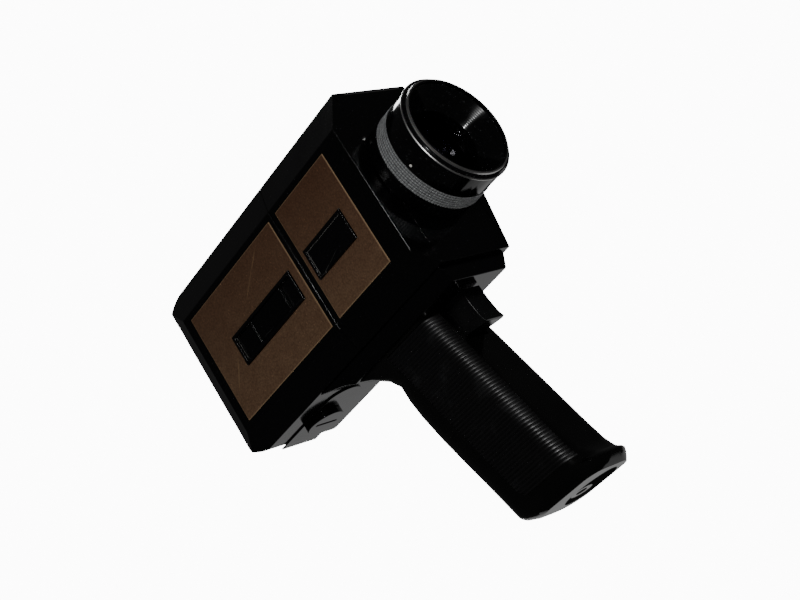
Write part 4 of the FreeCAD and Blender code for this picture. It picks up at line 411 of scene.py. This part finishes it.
def make_materials():
    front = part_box("front_panel")
    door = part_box("door_panel")
    upright = (1.0, 30.0, 1.0)
    looks = {
        "black_enamel": (enamel, rgb(5, 5, 6), rgb(58, 57, 54)),
        "front_leather": (leatherette, front[0], front[1], FRONT_SCUFFS),
        "door_leather": (leatherette, door[0], door[1], DOOR_SCUFFS),
        "black_anodised": (turned, rgb(7, 7, 8), 0.14),
        "hood_black": (turned, rgb(5, 5, 6), 0.08),
        # Its first colour is painted shade in the grooves.
        "knurled_grey": (ring_metal, 25.8, rgb(14, 15, 16), rgb(206, 209, 210)),
        "ring_trim": (brushed, rgb(236, 236, 234), 0.32, upright),
        "bright_trim": (brushed, rgb(214, 214, 212), 0.16, upright),
        # Frame trim and slider: pale edges all round at a high share, a painted highlight outline.
        "frame_trim": (enamel, rgb(6, 6, 8), rgb(236, 234, 228), 0.12, 1.0, 0.42, (0.05, 0.25)),
        "slider_black": (enamel, rgb(4, 4, 5), rgb(190, 190, 188), 0.12, 0.8, 0.2, (0.3, 0.5)),
        "grip_case": (grip_case,),
        "grip_black": (moulded, rgb(7, 7, 7), 0.2, 1800.0, 0.012, rgb(44, 43, 40)),
        "grip_rubber": (ribbed, rgb(8, 8, 9), rgb(104, 106, 110)),
        "black_plastic": (moulded, rgb(6, 6, 7), 0.16, 1600.0, 0.01, rgb(46, 46, 46)),
        "inside_black": (moulded, rgb(16, 16, 17), 0.5, 1100.0, 0.05),
        "optical_glass": (lens_glass, rgb(222, 226, 240)),
        "clear_window": (lens_glass, rgb(236, 238, 236)),
        "eyecup_rubber": (moulded, rgb(16, 16, 16), 0.6, 900.0, 0.05),
        "spring_steel": (brushed, rgb(186, 186, 182), 0.3),
        "machined_steel": (brushed, rgb(176, 177, 176), 0.28, (25.0, 1.0, 1.0)),
        "brass": (brushed, rgb(206, 168, 96), 0.3, (1.0, 20.0, 1.0)),
        "motor_case": (brushed, rgb(150, 152, 154), 0.35, (1.0, 20.0, 1.0)),
        "board_green": (moulded, rgb(34, 78, 44), 0.35, 700.0, 0.02, rgb(120, 150, 110)),
        "dial_white": (moulded, rgb(214, 212, 204), 0.5, 900.0, 0.02, rgb(150, 146, 136)),
        "cell_case": (enamel, rgb(62, 66, 76), rgb(150, 150, 150), 0.25),
        "dioptre_grey": (turned, rgb(120, 122, 120), 0.3, rgb(200, 200, 198)),
        "index_white": (moulded, rgb(232, 230, 222), 0.4, 1500.0, 0.01, rgb(180, 176, 166)),
    }
    return {name: maker(name, *values) for name, (maker, *values) in looks.items()}


# Nodes whose look isn't their slot's own

OWN_LOOK = {"front_panel": "front_leather", "door_panel": "door_leather", "badge_frame": "frame_trim",
            "latch_frame": "frame_trim", "dioptre_ring": "dioptre_grey", "lens_hood": "hood_black",
            "latch_slider": "slider_black", "hood_ring": "ring_trim", "rim_ring": "ring_trim",
            "grip_shell": "grip_case"}


def paint_nodes(materials):
    for name, thing in NODES.items():
        look = materials[OWN_LOOK.get(name, SLOT_OF.get(name, "black_plastic"))]
        thing.data.materials.clear()
        thing.data.materials.append(look)


# Soft edges on the solids, widths in mm

EDGE_WIDTHS = {
    "right_cover": 0.45, "film_door": 0.45, "left_cover": 0.5, "top_cover": 0.35, "front_plate": 0.4,
    "grip_shoe": 0.6, "front_panel": 0.3, "door_panel": 0.3, "badge_frame": 0.05, "latch_frame": 0.05,
    "latch_slider": 0.22, "trigger": 1.3, "base_plate": 0.25, "meter_cap": 0.3, "run_knob": 0.3,
    "battery_door": 0.4, "lens_hood": 0.18, "lens_barrel": 0.25, "dioptre_ring": 0.3, "eyecup": 0.8,
    "eyepiece_tube": 0.3, "cartridge_spring": 0.2, "main_body": 0.35, "film_gate": 0.15,
    "grip_insert_right": 0.16, "grip_insert_left": 0.16, "grip_shell": 0.9,
}


def soften_edges(thing, width):
    weld = thing.modifiers.new("weld", "WELD")
    weld.merge_threshold = 0.000002
    flat = thing.modifiers.new("flat", "DECIMATE")
    flat.decimate_type = "DISSOLVE"
    flat.angle_limit = math.radians(0.6)
    bevel = thing.modifiers.new("bevel", "BEVEL")
    bevel.width = width * MM
    bevel.segments = 3
    bevel.limit_method = "ANGLE"
    bevel.angle_limit = math.radians(24)
    bevel.miter_outer = "MITER_ARC"
    bevel.use_clamp_overlap = True
    bevel.harden_normals = False
    normals = thing.modifiers.new("normals", "WEIGHTED_NORMAL")
    normals.keep_sharp = False
    normals.weight = 80


def soften_solids():
    for name, width in EDGE_WIDTHS.items():
        if name in NODES:
            soften_edges(NODES[name], width)


# Small pieces: marks, studs and rims

def touch(node, start, way):
    """Where a ray, given in mm, meets a CAD node, and which way the surface faces there."""
    mesh = NODES[node].data
    tree = BVHTree.FromPolygons([v.co for v in mesh.vertices], [p.vertices for p in mesh.polygons])
    point, normal, _, _ = tree.ray_cast(Vector(start) * MM, Vector(way))
    return point, normal


SEGMENTS = 32
DOME_STEPS = 5
SINK = 0.05   # how deep a small form stands in the surface below it, in mm


def lathed(profile):
    """Turned form about its own z from radius and height in mm; radius 0 closes it at the axis."""
    form = bmesh.new()
    turns = [2 * math.pi * k / SEGMENTS for k in range(SEGMENTS)]
    rows = []
    for radius, height in profile:
        if radius == 0:
            rows.append([form.verts.new((0, 0, height * MM))] * SEGMENTS)
            continue
        wide = radius * MM
        rows.append([form.verts.new((wide * math.cos(a), wide * math.sin(a), height * MM))
                     for a in turns])
    for low, high in zip(rows, rows[1:]):
        for k in range(SEGMENTS):
            corners = [low[k - 1], low[k], high[k], high[k - 1]]
            corners = [v for i, v in enumerate(corners) if v is not corners[i - 1]]
            form.faces.new(corners)
    return form


def dome(radius, rise):
    """Low dome on a short skirt that stands in the surface below it."""
    arc = [math.pi / 2 * k / DOME_STEPS for k in range(DOME_STEPS)]
    curve = [(radius * math.cos(a), rise * math.sin(a)) for a in arc]
    return lathed([(radius, -SINK)] + curve + [(0, rise)])


def bar(long, wide, high, round_off=0.4):
    """Bar along its own x with rounded top edges and ends, its foot just below the surface."""
    form = bmesh.new()
    bmesh.ops.create_cube(form, size=1.0)
    for vert in form.verts:
        x, y, z = vert.co
        vert.co = (x * long * MM, y * wide * MM, (high if z > 0 else -SINK) * MM)
    sharp = [edge for edge in form.edges if max(v.co.z for v in edge.verts) > 0]
    offset = min(high, wide / 2) * round_off * MM
    bmesh.ops.bevel(form, geom=sharp, offset=offset, segments=3, affect="EDGES")
    return form


def add_piece(name, form, node, look, point, normal, along):
    """Sets a small form at a point of a CAD node, its x along the given way, and rides it there."""
    mesh = bpy.data.meshes.new(name)
    bmesh.ops.recalc_face_normals(form, faces=form.faces)
    form.to_mesh(mesh)
    form.free()
    mesh.shade_smooth()
    thing = bpy.data.objects.new(name, mesh)
    bpy.context.scene.collection.objects.link(thing)
    up = Vector(normal).normalized()
    side = Vector(along)
    side = (side - up * side.dot(up)).normalized()
    axes = Matrix((side, up.cross(side), up)).transposed()
    thing.matrix_world = Matrix.Translation(point) @ axes.to_4x4()
    mesh.materials.append(materials[look])
    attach(thing, BODY_OF[node])


def add_where(name, form, node, look, start, way, along):
    """Sets a small form where a ray, given in mm, meets a CAD node."""
    point, normal = touch(node, start, way)
    add_piece(name, form, node, look, point, normal, along)


def spoke(degrees):
    """Unit vector in the x, z plane."""
    turn = math.radians(degrees)
    return Vector((math.cos(turn), 0, math.sin(turn)))


# Rays that look for the rear start well behind it and run forward

BEHIND = 160
FORWARD = (0, -1, 0)

INDEX_TURN, INDEX_Y = 197, -37.8
DIOPTRE_Y = 136.2
NUMBER_SIZE = 2.2
NUMBER_RISE = 0.03


def on_rear(name, form, node, look, x, z, along=(1, 0, 0)):
    add_where(name, form, node, look, (x, BEHIND, z), FORWARD, along)


def make_hood_index():
    out = spoke(INDEX_TURN)
    start = Vector((LENS_AXIS[0], INDEX_Y, LENS_AXIS[1])) + out * 40
    add_where("zoom_index", dome(0.62, 0.12), "lens_hood", "index_white",
              start, -out, (0, 1, 0))


def make_front_stud():
    form = lathed([(1.1, -SINK), (1.1, 0.2), (0.95, 0.3), (0.8, 0.25), (0.7, 0.45), (0.4, 0.6),
                   (0, 0.65)])
    add_where("front_stud", form, "front_plate", "bright_trim",
              (-19.6, -40, 164.0), (0, 1, 0), (1, 0, 0))


def make_rear_marks():
    """Marks round the run knob, its pointer, and the dioptre ring's ticks."""
    for k in range(3):
        turn = math.radians(45 * k)
        x, z = KNOB[0] + 9.3 * math.cos(turn), KNOB[1] + 9.3 * math.sin(turn)
        on_rear(f"knob_mark_{k}", dome(0.5 + 0.1 * k, 0.1), "main_body",
                "index_white", x, z)
    on_rear("knob_pointer", bar(4.2, 0.7, 0.12), "run_knob", "index_white",
            KNOB[0], KNOB[1] + 4.2, (0, 0, 1))
    on_rear("dioptre_mark", dome(0.45, 0.1), "main_body", "index_white",
            FINDER[0] - 10.6, FINDER[1])
    for k in range(-2, 3):
        out = spoke(180 + 12 * k)
        long = 1.3 if k == 0 else 0.8
        start = Vector((FINDER[0], DIOPTRE_Y, FINDER[1])) + out * 20
        add_where(f"dioptre_tick_{k + 2}", bar(long, 0.3, 0.08), "dioptre_ring",
                  "index_white", start, -out, (0, 1, 0))


def make_counter_marks():
    """Rim round the counter's window, and the dial's ticks and numbers behind it."""
    rim = lathed([(2.75, -SINK), (2.75, 0.2), (2.9, 0.32), (3.15, 0.3), (3.35, 0.12),
                  (3.35, -SINK)])
    point, normal = touch("main_body", (WINDOW[0] + 3.1, BEHIND, WINDOW[1]), FORWARD)
    point = Vector((WINDOW[0] * MM, point.y, WINDOW[1] * MM))
    add_piece("window_rim", rim, "main_body", "bright_trim", point, normal,
              (1, 0, 0))
    middle = Vector((DIAL[0], BEHIND, DIAL[1]))
    for k in range(30):
        out = spoke(90 + 12 * k)
        long, reach = (0.7, 6.9) if k % 5 else (1.3, 6.6)
        add_where(f"dial_tick_{k}", bar(long, 0.22, 0.06), "counter_dial",
                  "black_plastic", middle + out * reach, FORWARD, out)
    for k in range(6):
        out = spoke(90 - 60 * k)
        point, _ = touch("counter_dial", middle + out * 4.3, FORWARD)
        add_number(f"dial_number_{k}", str(10 * k), point, out)


def add_number(name, words, point, up):
    """Raised number on the counter's dial, its top towards the dial's rim."""
    text = bpy.data.curves.new(name, "FONT")
    text.body = words
    text.size = NUMBER_SIZE * MM
    text.extrude = NUMBER_RISE * MM
    text.align_x = "CENTER"
    text.align_y = "CENTER"
    text.materials.append(materials["black_plastic"])
    thing = bpy.data.objects.new(name, text)
    bpy.context.scene.collection.objects.link(thing)
    out = Vector((0, 1, 0))
    axes = Matrix((up.cross(out), up, out)).transposed()
    thing.matrix_world = Matrix.Translation(point + out * NUMBER_RISE * MM) @ axes.to_4x4()
    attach(thing, BODY_OF["counter_dial"])


def make_door_ribs():
    """Thumb ribs near the top of the battery door."""
    for k in range(5):
        on_rear(f"thumb_rib_{k}", bar(9.0, 0.9, 0.45, 0.8), "battery_door",
                "grip_black", 0, 58.0 + 2.0 * k)


# Stage, in metres

FLOOR_HALF = 2.5
FLOOR_LEVEL = -0.0006
WORLD_FILL = 0.03
WORLD_SEEN = 12.0

def make_floor():
    """Pale floor, see-through from below and in reflections."""
    mesh = bpy.data.meshes.new("floor")
    corners = [(-1, -1), (1, -1), (1, 1), (-1, 1)]
    mesh.from_pydata([(x * FLOOR_HALF, y * FLOOR_HALF, FLOOR_LEVEL) for x, y in corners],
                     [], [(0, 1, 2, 3)])
    floor = bpy.data.objects.new("floor", mesh)
    bpy.context.scene.collection.objects.link(floor)
    material = bpy.data.materials.new("pale_floor")
    material.use_nodes = True
    tree = material.node_tree
    shader = tree.nodes["Principled BSDF"]
    shader.inputs["Base Color"].default_value = (0.82, 0.82, 0.81, 1.0)
    shader.inputs["Roughness"].default_value = 0.9
    clear = tree.nodes.new("ShaderNodeBsdfTransparent")
    seen = tree.nodes.new("ShaderNodeLightPath")
    below = tree.nodes.new("ShaderNodeNewGeometry")
    either = tree.nodes.new("ShaderNodeMath")
    either.operation = "MAXIMUM"
    tree.links.new(below.outputs["Backfacing"], either.inputs[0])
    tree.links.new(seen.outputs["Is Glossy Ray"], either.inputs[1])
    mix = tree.nodes.new("ShaderNodeMixShader")
    tree.links.new(either.outputs[0], mix.inputs[0])
    tree.links.new(shader.outputs[0], mix.inputs[1])
    tree.links.new(clear.outputs[0], mix.inputs[2])
    tree.links.new(mix.outputs[0], tree.nodes["Material Output"].inputs["Surface"])
    mesh.materials.append(material)


def area_light(name, at, toward, size, power, tall=None):
    """Round light, or a rectangle where its second side is given."""
    data = bpy.data.lights.new(name, "AREA")
    data.shape = "RECTANGLE" if tall else "DISK"
    data.size = size
    data.size_y = tall or size
    data.energy = power
    light = bpy.data.objects.new(name, data)
    bpy.context.scene.collection.objects.link(light)
    light.location = at
    aim = Vector(toward) - Vector(at)
    light.rotation_euler = aim.to_track_quat("-Z", "Y").to_euler()
    return light


LENS_FRONT = Vector((0.0, -0.035, 0.1453))
FLASH_RAY = Vector((-0.655, -0.748, -0.098))
FLASH_DISTANCE = 0.65
LAMP_AT = Vector((-0.588, -0.382, 0.33))


def make_lights():
    """Flash and lamp from the front, two soft lights, and a card seen only in reflections."""
    middle = (0.0, 0.03, 0.13)
    area_light("flash", LENS_FRONT + FLASH_RAY * FLASH_DISTANCE, middle, 0.035, 1.0)
    area_light("lamp", LAMP_AT, middle, 0.03, 0.85, 0.14)
    area_light("top", (0.6, 0.6, 1.2), middle, 0.5, 7.0)
    area_light("behind", (0.9, 1.0, 0.9), middle, 0.4, 3.0)
    card = area_light("card", (0.32, 0.35, -0.25), (0.0, 0.35, -0.25), 0.8, 0.75, 0.7)
    card.visible_camera = False
    card.visible_diffuse = False


def make_world():
    """White where the camera sees it, a faint fill for everything else."""
    world = bpy.data.worlds.new("studio")
    bpy.context.scene.world = world
    world.use_nodes = True
    tree = world.node_tree
    back = tree.nodes["Background"]
    back.inputs["Color"].default_value = (1.0, 1.0, 1.0, 1.0)
    seen = tree.nodes.new("ShaderNodeLightPath")
    strength = tree.nodes.new("ShaderNodeMapRange")
    strength.inputs["To Min"].default_value = WORLD_FILL
    strength.inputs["To Max"].default_value = WORLD_SEEN
    tree.links.new(seen.outputs["Is Camera Ray"], strength.inputs["Value"])
    tree.links.new(strength.outputs[0], back.inputs["Strength"])


make_camera()
make_world()
make_lights()
make_floor()
materials = make_materials()
paint_nodes(materials)
soften_solids()
make_hood_index()
make_front_stud()
make_rear_marks()
make_counter_marks()
make_door_ribs()
